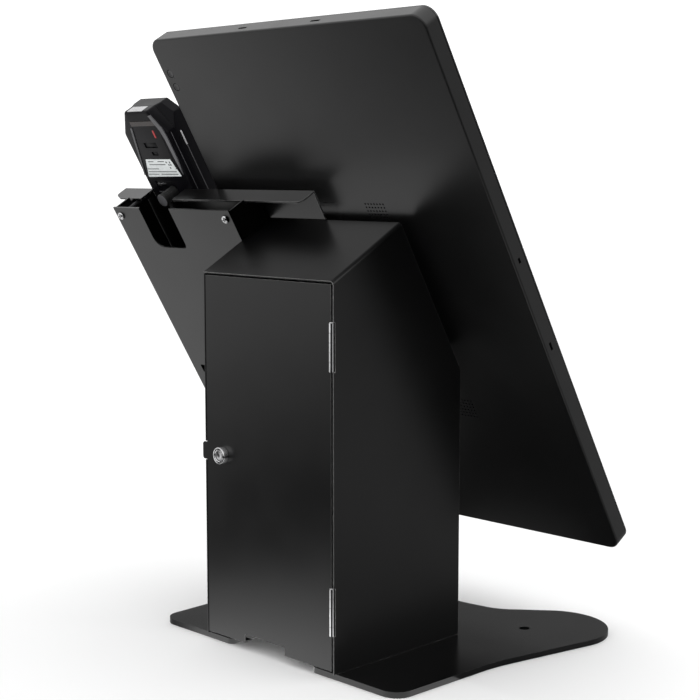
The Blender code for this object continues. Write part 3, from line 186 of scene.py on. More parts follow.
TERMINAL_RAIL = ((275.5, 303, 1), (278.7, 303, 1), (295, 240, 0.5), (292.6, 240, 0.5))  # x, up, radius, mm
LOWER_LINE = mm(264, 282, 216.6, 217.6)  # low x, high x, low up, high up
GRIP_COLUMNS = mm(225.2, 228)
GRIP_ROWS = 19
GRIP_START = 248 * MM
GRIP_PITCH = 2.3 * MM
GRIP_RIB = mm(1.9, 1.1)  # width, height
TERMINAL_RIDGE = ((235, 318), (230, 319), (219.6, 302), (217.6, 292), (217.4, 262), (220, 241), (220.9, 241),
                  (222.8, 262), (223.6, 288), (225.8, 299))  # in mm
SIDE_LINES = (  # height in the slope frame, width, low up, high up
    mm(8.3, 0.8, 162, 294),
    mm(21.5, 1, 162, 289),
)
# A short silver mark on each side of the terminal near the top: a painted highlight
SIDE_HIGHLIGHT = mm(270, 288, 21.5)  # low up, high up, height in the slope frame
CARD_SLOT_HALF = 28 * MM
LAMP_PITCH = 9 * MM
PLUG_X = 252.7 * MM
PLUG_UP = 217.8 * MM
PLUG_RADIUS = 8 * MM
PLUG_TIP_RADIUS = 4.6 * MM
SOCKET_RADIUS = 5 * MM
PLUG_GROOVES = 4
GROOVE_PITCH = 2.4 * MM
GROOVE_DEPTH = 0.6 * MM
KEY_FIGURE = 7 * MM
KEY_CROWN = 0.35 * MM
GROMMET_BORE = 6 * MM
GROMMET_LIP = 1.5 * MM
GROMMET_GROOVE = 2.6 * MM

# Adapter and interface box in the cabinet
ADAPTER_RIBS = (6, 10 * MM, 4 * MM, 1.6 * MM)  # how many, where they start, pitch, width
ADAPTER_LABEL = mm(-22, 45, -19, 19)  # low x, high x, low y, high y from the middle
ADAPTER_BARS = mm(52, 38, 46, 30, 50, 24)  # lengths
ADAPTER_PINS = (mm(-4, -2), mm(4, -2), mm(0, 3))  # across and up from the inlet's middle
SOCKETS = (4, 12 * MM, 16 * MM)  # how many, where they start, pitch
SOCKET_WIDTH = 12 * MM
SOCKET_WALL = 0.8 * MM
SOCKET_HEIGHTS = mm(9, 16)  # low and high, above the box's foot
TONGUE = (2 * MM, 2.4 * MM, 1.8 * MM)  # clear at each side and below, thickness
BOX_RIBS = (5, 10 * MM, 3.6 * MM, 1.5 * MM)  # how many, from the top, pitch, width

# Camera, at the photograph's viewing angle
CAMERA_AZIMUTH = math.radians(225.03)
CAMERA_ELEVATION = math.radians(6.88)
CAMERA_PLACE = Vector((-1.146, 1.1177, 0.5149))
CAMERA_LENS = 76.72  # on a 36 mm sensor
STAGE_RADIUS = 5.0
DRAPE_ELEVATION = math.radians(28)
DISPLAY_CARD = mm(-92, 176, 196, 300)  # low x, high x, low up, high up
DISPLAY_CARD_HEIGHT = 13.6 * MM
SHADE_CARD = mm(-6, 78, 400, 490)  # low y, high y, low z, high z
TOP_CARD = mm(-99, 99, 9)  # low x, high x, how far it reaches past the ridge
CARD_GAP = 0.8 * MM
DISPLAY_GLOW = 0.36
TOP_GLOW = 0.8
SURROUND = 1.27

# Planes that flat outlines are drawn in: the columns are where u, v and the thickness go
FLAT = Matrix(((1, 0, 0), (0, 1, 0), (0, 0, 1)))
LEVEL = Matrix(((1, 0, 0), (0, 0, 1), (0, -1, 0)))  # u is +X, v is -Z, thickness is +Y


# ---------------------------------------------------------------- camera, floor and light


def aim(obj, place, target):
    obj.location = place
    obj.rotation_mode = "QUATERNION"
    obj.rotation_quaternion = (Vector(target) - Vector(place)).to_track_quat("-Z", "Y")


def make_camera():
    data = bpy.data.cameras.new("camera")
    data.lens = CAMERA_LENS
    data.clip_start = 0.05
    data.clip_end = 100
    camera = bpy.data.objects.new("camera", data)
    bpy.context.scene.collection.objects.link(camera)
    level = math.cos(CAMERA_ELEVATION)
    back = Vector((math.sin(CAMERA_AZIMUTH) * level, -math.cos(CAMERA_AZIMUTH) * level,
                   math.sin(CAMERA_ELEVATION)))
    aim(camera, CAMERA_PLACE, CAMERA_PLACE - back)
    bpy.context.scene.camera = camera


def add_node(tree, kind, inputs=None, **settings):
    """A new shader node's outputs. Each input is linked where it is given a socket, or else holds a value."""
    node = tree.nodes.new(f"ShaderNode{kind}")
    for name, value in settings.items():
        setattr(node, name, value)
    for name, value in (inputs or {}).items():
        if isinstance(value, bpy.types.NodeSocket):
            tree.links.new(value, node.inputs[name])
        else:
            node.inputs[name].default_value = value
    return node.outputs


def ramp(tree, source, stops):
    """A grey ramp over a 0 to 1 source from (position, value) stops."""
    node = tree.nodes.new("ShaderNodeValToRGB")
    node.color_ramp.interpolation = "EASE"
    elements = node.color_ramp.elements
    while len(elements) < len(stops):
        elements.new(0.5)
    for element, (position, value) in zip(elements, stops):
        element.position = position
        element.color = (value, value, value, 1)
    tree.links.new(source, node.inputs["Fac"])
    return node.outputs["Color"]


def compass(tree):
    """How far round a point is, from 0 at -X through -Y, +X and +Y to 1, and its distance in stage widths."""
    place = add_node(tree, "TexCoord")["Object"]
    around = add_node(tree, "TexGradient", {"Vector": place}, gradient_type="RADIAL")["Fac"]
    length = add_node(tree, "VectorMath", {0: place}, operation="LENGTH")["Value"]
    share = add_node(tree, "Math", {0: length, 1: STAGE_RADIUS}, operation="DIVIDE")["Value"]
    return around, share


def blend(tree, factor, first, second):
    """A mix by a factor of two colours, each a socket or (red, green, blue, 1)."""
    return add_node(tree, "Mix", {"Factor": factor, "A": first, "B": second}, data_type="RGBA")["Result"]


def add_card(name, mesh, build, one_sided=False):
    """A studio card: only glossy surfaces see it, so it shapes reflections and lights nothing else."""
    material = bpy.data.materials.new(name)
    material.use_nodes = True
    tree = material.node_tree
    tree.nodes.clear()
    surface = add_node(tree, "Emission", {"Color": build(tree)})["Emission"]
    if one_sided:
        from_behind = add_node(tree, "NewGeometry")["Backfacing"]
        clear = add_node(tree, "BsdfTransparent")["BSDF"]
        surface = add_node(tree, "MixShader", {"Fac": from_behind, 1: surface, 2: clear})["Shader"]
    add_node(tree, "OutputMaterial", {"Surface": surface})
    material.cycles.emission_sampling = "NONE"
    mesh.materials.append(material)
    card = bpy.data.objects.new(name, mesh)
    bpy.context.scene.collection.objects.link(card)
    for ray in ("camera", "diffuse", "transmission", "volume_scatter", "shadow"):
        setattr(card, f"visible_{ray}", False)
    return card


def floor_glow(tree):
    """The floor in reflections: bright close behind the door, dim a step off, bright on the holder's side."""
    around, distance = compass(tree)
    behind_door = ramp(tree, distance, [(0.02, 1.7), (0.058, 1.0), (0.09, 0.25), (0.115, 0), (0.31, 0),
                                        (0.45, 0.35), (0.62, 0.65), (0.95, 1.0)])
    holder_side = ramp(tree, distance, [(0.02, 0.35), (0.085, 0.46), (0.115, 0.9), (0.14, 0.98), (0.6, 1.1)])
    far_side = ramp(tree, distance, [(0.025, 0.06), (0.06, 0.24), (0.16, 0.35), (0.9, 0.42)])
    to_door = ramp(tree, around, [(0.58, 0), (0.61, 1)])
    to_holder = ramp(tree, around, [(0.33, 0), (0.45, 1)])
    return blend(tree, to_door, blend(tree, to_holder, far_side, holder_side), behind_door)


def drape_glow(tree):
    """The surround in reflections: dim all round up to head height, brighter behind the door."""
    around, _ = compass(tree)
    return ramp(tree, around, [(0.0, 0.34), (0.25, 0.3), (0.36, 0.17), (0.48, 0.3), (0.6, 0.8), (0.7, 0.95),
                               (0.9, 0.5)])


def add_facing_card(name, corners, strength):
    """A one-sided card: its glow is seen only from the side that its corners turn anticlockwise on."""
    work = bmesh.new()
    work.faces.new([work.verts.new(corner) for corner in corners])
    even = [(0, strength), (1, strength)]
    add_card(name, finished(work, name), lambda tree: ramp(tree, compass(tree)[1], even), one_sided=True)


def make_facing_cards():
    """The column's top sheet and the display's back each reflect a soft glow off the other."""
    low_x, high_x, low_up, high_up = DISPLAY_CARD
    corners = [(low_x, low_up), (low_x, high_up), (high_x, high_up), (high_x, low_up)]
    corners = [SLOPE @ Vector((*corner, DISPLAY_CARD_HEIGHT)) for corner in corners]
    add_facing_card("display_glow", corners, DISPLAY_GLOW)
    above = Vector((0, 0.5, 0.87)) * CARD_GAP  # square to the top sheet
    low_x, high_x, into_gap = TOP_CARD
    front = (RIDGE[0] - into_gap, RIDGE[1])
    corners = [(low_x, *front), (high_x, *front), (high_x, *RIDGE), (high_x, *REAR_TOP), (low_x, *REAR_TOP),
               (low_x, *RIDGE)]
    add_facing_card("top_glow", [Vector(corner) + above for corner in corners], TOP_GLOW)
    low_y, high_y, low_z, high_z = SHADE_CARD
    beside = COLUMN_HALF + 0.1 * MM
    corners = [(low_y, low_z), (high_y, low_z), (high_y, high_z), (low_y, high_z)]
    add_facing_card("cover_shade", [(beside, *corner) for corner in corners], 0)


def make_stage():
    """A wide pale floor in an even white surround, with cards that only reflections see."""
    work = bmesh.new()
    bmesh.ops.create_circle(work, cap_ends=True, segments=96, radius=6 * STAGE_RADIUS)
    mesh = bpy.data.meshes.new("floor")
    work.to_mesh(mesh)
    bmesh.ops.scale(work, vec=(1 / 6, 1 / 6, 1), verts=work.verts)
    glow = finished(work, "floor_glow")
    floor = bpy.data.objects.new("floor", mesh)
    floor.location.z = -0.5 * MM
    floor.visible_glossy = False
    bpy.context.scene.collection.objects.link(floor)
    mesh.materials.append(start_material("pale_floor", (0.94, 0.94, 0.94), 0.9)[0])
    add_card("floor_glow", glow, floor_glow).location.z = -0.2 * MM

    work = bmesh.new()
    drape_height = STAGE_RADIUS * math.tan(DRAPE_ELEVATION)
    bmesh.ops.create_cone(work, cap_ends=False, segments=96, radius1=STAGE_RADIUS, radius2=STAGE_RADIUS,
                          depth=drape_height)
    bmesh.ops.translate(work, vec=(0, 0, drape_height / 2), verts=work.verts)
    add_card("drape_glow", finished(work, "drape_glow"), drape_glow)

    world = bpy.data.worlds.new("studio")
    world.use_nodes = True
    background = world.node_tree.nodes["Background"]
    background.inputs["Color"].default_value = (1, 1, 1, 1)
    background.inputs["Strength"].default_value = SURROUND
    bpy.context.scene.world = world
    bpy.context.scene.view_settings.view_transform = "Standard"


# ---------------------------------------------------------------- materials


def start_material(name, colour, roughness, metallic=0.0):
    material = bpy.data.materials.new(name)
    material.use_nodes = True
    tree = material.node_tree
    shader = tree.nodes["Principled BSDF"]
    shader.inputs["Base Color"].default_value = (*colour, 1)
    shader.inputs["Roughness"].default_value = roughness
    shader.inputs["Metallic"].default_value = metallic
    return material, tree, shader


def noise(tree, scale, detail=3.0, stretch=(1, 1, 1)):
    """Noise on the piece's own coordinates, with about that many features to a metre."""
    place = add_node(tree, "TexCoord")["Object"]
    mapped = add_node(tree, "Mapping", {"Vector": place, "Scale": stretch})["Vector"]
    return add_node(tree, "TexNoise", {"Vector": mapped, "Scale": scale, "Detail": detail})["Fac"]


def remap(tree, source, low, high, start=0.35, end=0.65):
    """The source between start and end, spread over low to high."""
    ends = {"Value": source, "From Min": start, "From Max": end, "To Min": low, "To Max": high}
    return add_node(tree, "MapRange", ends)["Result"]


def vary(tree, shader, spread, scale, roughness):
    """Uneven colour and roughness: the colour swings by a share, the roughness between two values."""
    base = shader.inputs["Base Color"].default_value[:3]
    dark = (*(channel * (1 - spread) for channel in base), 1)
    light = (*(channel * (1 + spread) for channel in base), 1)
    colour = blend(tree, remap(tree, noise(tree, scale), 0, 1), dark, light)
    tree.links.new(colour, shader.inputs["Base Color"])
    rough = remap(tree, noise(tree, scale * 0.6, 1), *roughness, 0.25, 0.75)
    tree.links.new(rough, shader.inputs["Roughness"])


def add_bump(tree, shader, source, distance, strength=1.0):
    """Bumps on top of those the shader already has."""
    inputs = {"Height": source, "Distance": distance, "Strength": strength}
    normal = shader.inputs["Normal"]
    if normal.is_linked:
        inputs["Normal"] = normal.links[0].from_socket
    tree.links.new(add_node(tree, "Bump", inputs)["Normal"], normal)


def powder_coat(name="powder_coat", roughness=(0.28, 0.32)):
    """Satin black powder coat: a slow orange peel, a fine grain, and rubbed patches."""
    material, tree, shader = start_material(name, (0.0014, 0.0014, 0.0015), roughness[0])
    vary(tree, shader, 0.15, 30, roughness)
    add_bump(tree, shader, noise(tree, 380, 1), 0.014 * MM)
    add_bump(tree, shader, noise(tree, 2600, 2), 0.006 * MM)
    return material


def powder_coat_edge_highlight():
    """The same coat over rounded edges: painted much lighter as an edge highlight, partly also wear where it
    thins and is rubbed by handling.
    """
    material, tree, shader = start_material("powder_coat_edge_highlight", (0.12, 0.12, 0.12), 0.3)
    highlight_and_wear = remap(tree, noise(tree, 260, 6), 0, 1, 0.42, 0.66)
    colour = blend(tree, highlight_and_wear, (0.19, 0.19, 0.191, 1), (0.42, 0.418, 0.41, 1))
    tree.links.new(colour, shader.inputs["Base Color"])
    tree.links.new(remap(tree, noise(tree, 300, 4), 0.28, 0.4), shader.inputs["Roughness"])
    add_bump(tree, shader, noise(tree, 900, 3), 0.01 * MM)
    return material


def moulded_plastic(name, colour, roughness, grain=1500, depth=0.02, uneven=1.0, shine=0.5):
    """A moulding with a spark-eroded grain and slightly uneven walls."""
    material, tree, shader = start_material(name, colour, roughness)
    shader.inputs["Specular IOR Level"].default_value = shine
    vary(tree, shader, 0.14, 40, (roughness - 0.05 * uneven, roughness + 0.05 * uneven))
    add_bump(tree, shader, noise(tree, grain, 4), depth * MM)
    add_bump(tree, shader, noise(tree, 160, 2), 0.02 * uneven * MM)
    return material


def bright_metal(name, colour, roughness, along=(1, 1, 0.03)):
    """Plated or bare steel with fine marks that run one way."""
    material, tree, shader = start_material(name, colour, roughness, 1.0)
    marks = noise(tree, 5200, 3, along)
    tree.links.new(remap(tree, marks, roughness * 0.75, roughness * 1.35), shader.inputs["Roughness"])
    add_bump(tree, shader, marks, 0.003 * MM)
    add_bump(tree, shader, noise(tree, 140, 3), 0.01 * MM)
    return material


def rubber():
    material, tree, shader = start_material("black_rubber", (0.007, 0.007, 0.007), 0.62)
    vary(tree, shader, 0.2, 90, (0.52, 0.68))
    add_bump(tree, shader, noise(tree, 1400, 5), 0.03 * MM)
    return material


def cover_glass(name, colour, smear=(0.03, 0.11)):
    """Black-backed glass with faint wiped smears."""
    material, tree, shader = start_material(name, colour, 0.05)
    shader.inputs["IOR"].default_value = 1.52
    shader.inputs["Coat Weight"].default_value = 0.4
    shader.inputs["Coat Roughness"].default_value = 0.03
    smears = noise(tree, 14, 6, (1, 2.2, 0.5))
    tree.links.new(remap(tree, smears, *smear, 0.4, 0.7), shader.inputs["Roughness"])
    add_bump(tree, shader, noise(tree, 9, 2), 0.02 * MM)
    return material


def circuit_board():
    """Green solder mask with paler copper tracks under it."""
    material, tree, shader = start_material("circuit_board", (0.01, 0.07, 0.025), 0.35)
    tracks = add_node(tree, "TexBrick", {
        "Vector": add_node(tree, "TexCoord")["Object"],
        "Scale": 90,
        "Mortar Size": 0.035,
        "Color1": (0.008, 0.06, 0.02, 1),
        "Color2": (0.012, 0.075, 0.028, 1),
        "Mortar": (0.05, 0.16, 0.05, 1),
    })
    tree.links.new(tracks["Color"], shader.inputs["Base Color"])
    add_bump(tree, shader, tracks["Fac"], 0.03 * MM, 0.5)
    return material


def printed_label():
    """Pale label stock, slightly uneven."""
    material, tree, shader = start_material("label_stock", (0.68, 0.71, 0.71), 0.42)
    vary(tree, shader, 0.05, 220, (0.36, 0.5))
    add_bump(tree, shader, noise(tree, 900, 3), 0.01 * MM)
    return material


def lit_panel():
    """The liquid crystal panel: a diffuser behind fine pixel rows."""
    material, tree, shader = start_material("lcd_panel", (0.035, 0.037, 0.042), 0.3)
    vary(tree, shader, 0.1, 60, (0.25, 0.35))
    add_bump(tree, shader, noise(tree, 3000, 1), 0.004 * MM)
    return material


LOOKS = {
    "powder": powder_coat(),
    "powder_edge": powder_coat_edge_highlight(),
    "powder_base": powder_coat("powder_coat_base", (0.2, 0.25)),
    "display": moulded_plastic("display_plastic", (0.003, 0.003, 0.0031), 0.36, uneven=0.3, shine=0.58),
    "display_edge": moulded_plastic("display_plastic_edge", (0.02, 0.02, 0.021), 0.4, 900, 0.01),
    "terminal": moulded_plastic("terminal_plastic", (0.003, 0.0028, 0.004), 0.33, 2200, 0.012, shine=0.12),
    "terminal_grey": moulded_plastic("terminal_grey_plastic", (0.07, 0.07, 0.074), 0.4, 2000, 0.015),
    "terminal_dark": moulded_plastic("terminal_recess", (0.002, 0.002, 0.003), 0.45, 2000, 0.012, shine=0.15),
    "terminal_light": moulded_plastic("terminal_light_plastic", (0.075, 0.075, 0.08), 0.34, 2000, 0.012),
    "terminal_brown": moulded_plastic("terminal_smoked", (0.014, 0.007, 0.005), 0.25, 1200, 0.005),
    "silver_paint": moulded_plastic("silver_paint", (0.46, 0.46, 0.47), 0.35, 1500, 0.006),
    "red_mark": moulded_plastic("red_mark", (0.42, 0.012, 0.015), 0.4, 1500, 0.01),
    "key": moulded_plastic("key_plastic", (0.085, 0.085, 0.09), 0.48, 1800, 0.015),
    "key_red": moulded_plastic("key_red_plastic", (0.40, 0.018, 0.016), 0.45, 1800, 0.015),
    "key_yellow": moulded_plastic("key_yellow_plastic", (0.62, 0.38, 0.02), 0.45, 1800, 0.015),
    "key_green": moulded_plastic("key_green_plastic", (0.015, 0.23, 0.05), 0.45, 1800, 0.015),
    "legend": moulded_plastic("key_legend", (0.72, 0.72, 0.70), 0.5, 1800, 0.006),
    "adapter": moulded_plastic("adapter_plastic", (0.014, 0.014, 0.015), 0.5, 1100, 0.04),
    "chrome": bright_metal("chrome", (0.80, 0.80, 0.81), 0.14),
    "steel": bright_metal("zinc_steel", (0.58, 0.58, 0.59), 0.27),
    "dark_steel": bright_metal("dark_steel", (0.05, 0.05, 0.052), 0.4),
    "screw": bright_metal("screw_steel", (0.66, 0.66, 0.67), 0.2),
    "rubber": rubber(),
    "glass": cover_glass("black_glass", (0.0025, 0.0025, 0.003)),
    "glass_active": cover_glass("black_glass_active", (0.008, 0.0085, 0.0105)),
    "board": circuit_board(),
    "label": printed_label(),
    "ink": moulded_plastic("label_ink", (0.12, 0.13, 0.13), 0.5, 1500, 0.004),
    "lcd": lit_panel(),
}


# ---------------------------------------------------------------- mesh tools


def rounded(corners, steps=8):
    """An outline from (u, v) or (u, v, radius) corners, with each rounded corner as an arc."""
    points = []
    for index, corner in enumerate(corners):
        here = Vector(corner[:2])
        radius = corner[2] if len(corner) > 2 else 0
        if radius == 0:
            points.append(here)
            continue
        before = (Vector(corners[index - 1][:2]) - here).normalized()
        after = (Vector(corners[(index + 1) % len(corners)][:2]) - here).normalized()
        half_angle = before.angle(after) / 2
        tangent = radius / math.tan(half_angle)
        centre = here + (before + after).normalized() * (radius / math.sin(half_angle))
        start = here + before * tangent - centre
        sweep = (here + after * tangent - centre).angle_signed(start)
        for step in range(steps + 1):
            points.append(centre + Matrix.Rotation(sweep * step / steps, 2) @ start)
    return points


def circle(centre, radius, steps=32):
    turns = [math.tau * index / steps for index in range(steps)]
    return [Vector((centre[0] + radius * math.cos(t), centre[1] + radius * math.sin(t))) for t in turns]


def rectangle(low_u, high_u, low_v, high_v, radius=0, steps=8):
    corners = [(low_u, low_v), (high_u, low_v), (high_u, high_v), (low_u, high_v)]
    return rounded([(*corner, radius) for corner in corners], steps)


def finished(work, name):
    """The bmesh as a new mesh. The bmesh goes."""
    mesh = bpy.data.meshes.new(name)
    work.to_mesh(mesh)
    work.free()
    return mesh


def evaluated_mesh(obj):
    """The object's mesh with its modifiers, as a new mesh. The object goes."""
    if obj.name not in bpy.context.scene.collection.objects:
        bpy.context.scene.collection.objects.link(obj)
    graph = bpy.context.evaluated_depsgraph_get()
    mesh = bpy.data.meshes.new_from_object(obj.evaluated_get(graph))
    bpy.data.objects.remove(obj)
    return mesh


def tidied(mesh, merge=MERGE, flat=0.5):
    """Coincident points are merged, and triangles that lie in one plane become one face."""
    work = bmesh.new()
    work.from_mesh(mesh)
    bmesh.ops.remove_doubles(work, verts=work.verts, dist=merge)
    bmesh.ops.dissolve_limit(work, angle_limit=math.radians(flat), verts=work.verts, edges=work.edges)
    bmesh.ops.recalc_face_normals(work, faces=work.faces)
    work.to_mesh(mesh)
    work.free()
    return mesh


def plate(loops, low, high, plane=FLAT):
    """A flat plate: outer outline first, then its holes, from low to high through the plane."""
    curve = bpy.data.curves.new("outline", "CURVE")
    curve.dimensions = "2D"
    curve.fill_mode = "BOTH"
    curve.extrude = (high - low) / 2
    for loop in loops:
        spline = curve.splines.new("POLY")
        spline.points.add(len(loop) - 1)
        for point, place in zip(spline.points, loop):
            point.co = (place[0], place[1], 0, 1)
        spline.use_cyclic_u = True
    mesh = evaluated_mesh(bpy.data.objects.new("outline", curve))
    mesh.transform(plane.to_4x4() @ Matrix.Translation((0, 0, (low + high) / 2)))
    return tidied(mesh)


def block(low, high, bevel=0, segments=2):
    """A box between two corners, its edges rounded by bevel."""
    low = Vector(low)
    high = Vector(high)
    work = bmesh.new()
    bmesh.ops.create_cube(work, size=1)
    bmesh.ops.scale(work, vec=high - low, verts=work.verts)
    bmesh.ops.translate(work, vec=(low + high) / 2, verts=work.verts)
    if bevel:
        bmesh.ops.bevel(work, geom=work.edges, offset=bevel, segments=segments, profile=0.5, affect="EDGES")
    return finished(work, "block")


def joined(meshes):
    work = bmesh.new()
    for mesh in meshes:
        work.from_mesh(mesh)
    return finished(work, "joined")


def rod(start, end, radius, steps=32):
    start = Vector(start)
    end = Vector(end)
    work = bmesh.new()
    length = (end - start).length
    bmesh.ops.create_cone(work, cap_ends=True, segments=steps, radius1=radius, radius2=radius, depth=length)
    turn = (end - start).to_track_quat("Z", "Y").to_matrix().to_4x4()
    bmesh.ops.transform(work, matrix=Matrix.Translation((start + end) / 2) @ turn, verts=work.verts)
    return finished(work, "rod")


def peg(x, y, low, high, radius, steps=32):
    """A rod along Z."""
    return rod((x, y, low), (x, y, high), radius, steps)


def turned(profile, closed=False, steps=40):
    """A mesh turned about Z from (radius, height) points. A closed profile doesn't meet the axis."""
    work = bmesh.new()
    verts = [work.verts.new((radius, 0, height)) for radius, height in profile]
    pairs = list(zip(verts, verts[1:]))
    if closed:
        pairs.append((verts[-1], verts[0]))
    edges = [work.edges.new(pair) for pair in pairs]
    bmesh.ops.spin(work, geom=verts + edges, cent=(0, 0, 0), axis=(0, 0, 1), angle=math.tau, steps=steps)
    bmesh.ops.remove_doubles(work, verts=work.verts, dist=MERGE)
    bmesh.ops.recalc_face_normals(work, faces=work.faces)
    return finished(work, "turned")


def along(spot, axis):
    """The matrix that puts a turned mesh's own Z on an axis through a spot."""
    return Matrix.Translation(spot) @ Vector(axis).to_track_quat("Z", "Y").to_matrix().to_4x4()


def boolean(mesh, tool, operation="DIFFERENCE"):
    obj = bpy.data.objects.new("worked", mesh)
    other = bpy.data.objects.new("tool", tool)
    for item in (obj, other):
        bpy.context.scene.collection.objects.link(item)
    modifier = obj.modifiers.new("boolean", "BOOLEAN")
    modifier.operation = operation
    modifier.object = other
    made = evaluated_mesh(obj)
    bpy.data.objects.remove(other)
    return made


def ring_surface(rings, cap=None):
    """Walls that join each (outline, height) ring to the next, closed by a face at the last ring.
    The cap's material index is given, and the first ring is closed too where it isn't an opening."""
    work = bmesh.new()
    loops = [[work.verts.new((*point, height)) for point in outline] for outline, height in rings]
    count = len(loops[0])
    for lower, upper in zip(loops, loops[1:]):
        for index in range(count):
            after = (index + 1) % count
            work.faces.new((lower[index], lower[after], upper[after], upper[index]))
    end = work.faces.new(loops[-1])
    if cap is not None:
        end.material_index = cap
        work.faces.new(list(reversed(loops[0])))
    bmesh.ops.recalc_face_normals(work, faces=work.faces)
    return finished(work, "rings")


def thickened(mesh, thickness, outward):
    """A shell from an open surface whose last face looks outward: thickness goes in behind it."""
    if mesh.polygons[-1].normal.dot(Vector(outward)) < 0:
        mesh.flip_normals()
    obj = bpy.data.objects.new("shell", mesh)
    modifier = obj.modifiers.new("thickness", "SOLIDIFY")
    modifier.thickness = thickness
    modifier.offset = -1
    modifier.use_even_offset = True
    modifier.use_quality_normals = True
    return evaluated_mesh(obj)


def world_box(node, turn=Matrix()):
    """Lowest and highest corner of a CAD node, in the world frame or in the one a matrix turns it to."""
    places = [turn @ vert.co for vert in NODES[node].data.vertices]
    return tuple(Vector(pick(place[axis] for place in places) for axis in range(3)) for pick in (min, max))


def slope_box(node):
    return world_box(node, TO_SLOPE)


def body_of(node):
    return NODES[node]["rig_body"]


def add_piece(name, mesh, look, body="stand", replaces=(), slot=None, edge=None, bevel=0, segments=2,
              smooth=35):
    """Puts a finished mesh, given in the world frame, on a CAD body, with its edges rounded."""
    mesh.name = name
    if mesh.materials:
        mesh.materials.clear()
    mesh.materials.append(LOOKS[look])
    if edge:
        mesh.materials.append(LOOKS[edge])
    obj = bpy.data.objects.new(name, mesh)
    bpy.context.scene.collection.objects.link(obj)
    mesh.shade_smooth()
    if bevel:
        modifier = obj.modifiers.new("edges", "BEVEL")
        modifier.width = bevel
        modifier.segments = segments
        modifier.limit_method = "ANGLE"
        modifier.angle_limit = math.radians(35)
        modifier.material = 1 if edge else -1
        normals = obj.modifiers.new("flat_faces", "WEIGHTED_NORMAL")
        normals.keep_sharp = False
    else:
        mesh.set_sharp_from_angle(angle=math.radians(smooth))
    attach(obj, body)
    if replaces:
        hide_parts(*replaces)
    return obj


def add_on_slope(name, mesh, look, **options):
    mesh.transform(SLOPE)
    return add_piece(name, mesh, look, **options)


def remake(node, mesh, look, **options):
    """A finer mesh, in the world frame, in place of a CAD node."""
    return add_piece(f"{node}_finished", mesh, look, body_of(node), [node], **options)


def remake_on_slope(node, mesh, look, **options):
    mesh.transform(SLOPE)
    return remake(node, mesh, look, **options)


def refine(node, look, edge=None, bevel=0.35 * MM):
    """A finer piece from a CAD node's own shape, with rounded edges."""
    return remake(node, tidied(NODES[node].data.copy()), look, edge=edge, bevel=bevel)


# ---------------------------------------------------------------- column, door and base


def make_base():
    """The base plate: two lobes in front, a waist at the column and a cable cut-out at the rear."""
    half = [
        (CUTOUT_HALF_WIDTH, REAR - BASE_INSET - CUTOUT_DEPTH, CUTOUT_RADII[0]),
        (CUTOUT_HALF_WIDTH, REAR - BASE_INSET, CUTOUT_RADII[1]),
        (BASE_REAR_HALF_WIDTH, REAR - BASE_INSET, BASE_REAR_CORNER),
        (BASE_WAIST_HALF_WIDTH, REAR - BASE_WAIST_FROM_REAR, BASE_WAIST_RADIUS),
        (LOBE_HALF_WIDTH, REAR - LOBE_FROM_REAR, LOBE_RADIUS),
        (LOBE_INNER_HALF_WIDTH, REAR - LOBE_FROM_REAR, LOBE_RADIUS),
        (BASE_HOLLOW_HALF_WIDTH, REAR - BASE_HOLLOW_FROM_REAR, BASE_HOLLOW_RADIUS),
    ]
    middle = [(0, REAR - BASE_MIDDLE_FROM_REAR, BASE_MIDDLE_RADIUS)]
    mirrored = [(-corner[0], *corner[1:]) for corner in reversed(half)]
    outline = rounded(half + middle + mirrored, steps=20)
    spots = [(side * BASE_HOLE_SPOT[0], REAR - BASE_HOLE_SPOT[1]) for side in (-1, 1)]
    holes = [circle(spot, BASE_HOLE_RADIUS, 40) for spot in spots]
    mesh = plate([outline, *holes], 0, BASE_THICKNESS)
    remake("base_plate", mesh, "powder_base", edge="powder_edge", bevel=0.5 * MM)


def make_sheet_metal():
    """The bent sheets, and the side panel whose rear edge beside the door's free edge is painted black as the
    shade in the gap.
    """
    for node in ("column_shell", "column_front_panel", "door_panel", "cable_cover", "terminal_holder",
                 "display_spacer"):
        refine(node, "powder", "powder_edge")
    # The side panel's rear face and all its rounded edges get the matte black of the rubber look: painted
    # shade for the dark gap beside the door's free edge.
    panel = tidied(NODES["column_side_panel"].data.copy())
    rear = max(vertex.co.y for vertex in panel.vertices)
    paint(panel, lambda place: place.y > rear - GAP)
    remake("column_side_panel", panel, "powder", edge="rubber", bevel=0.35 * MM)
    refine("lock_strike", "steel")


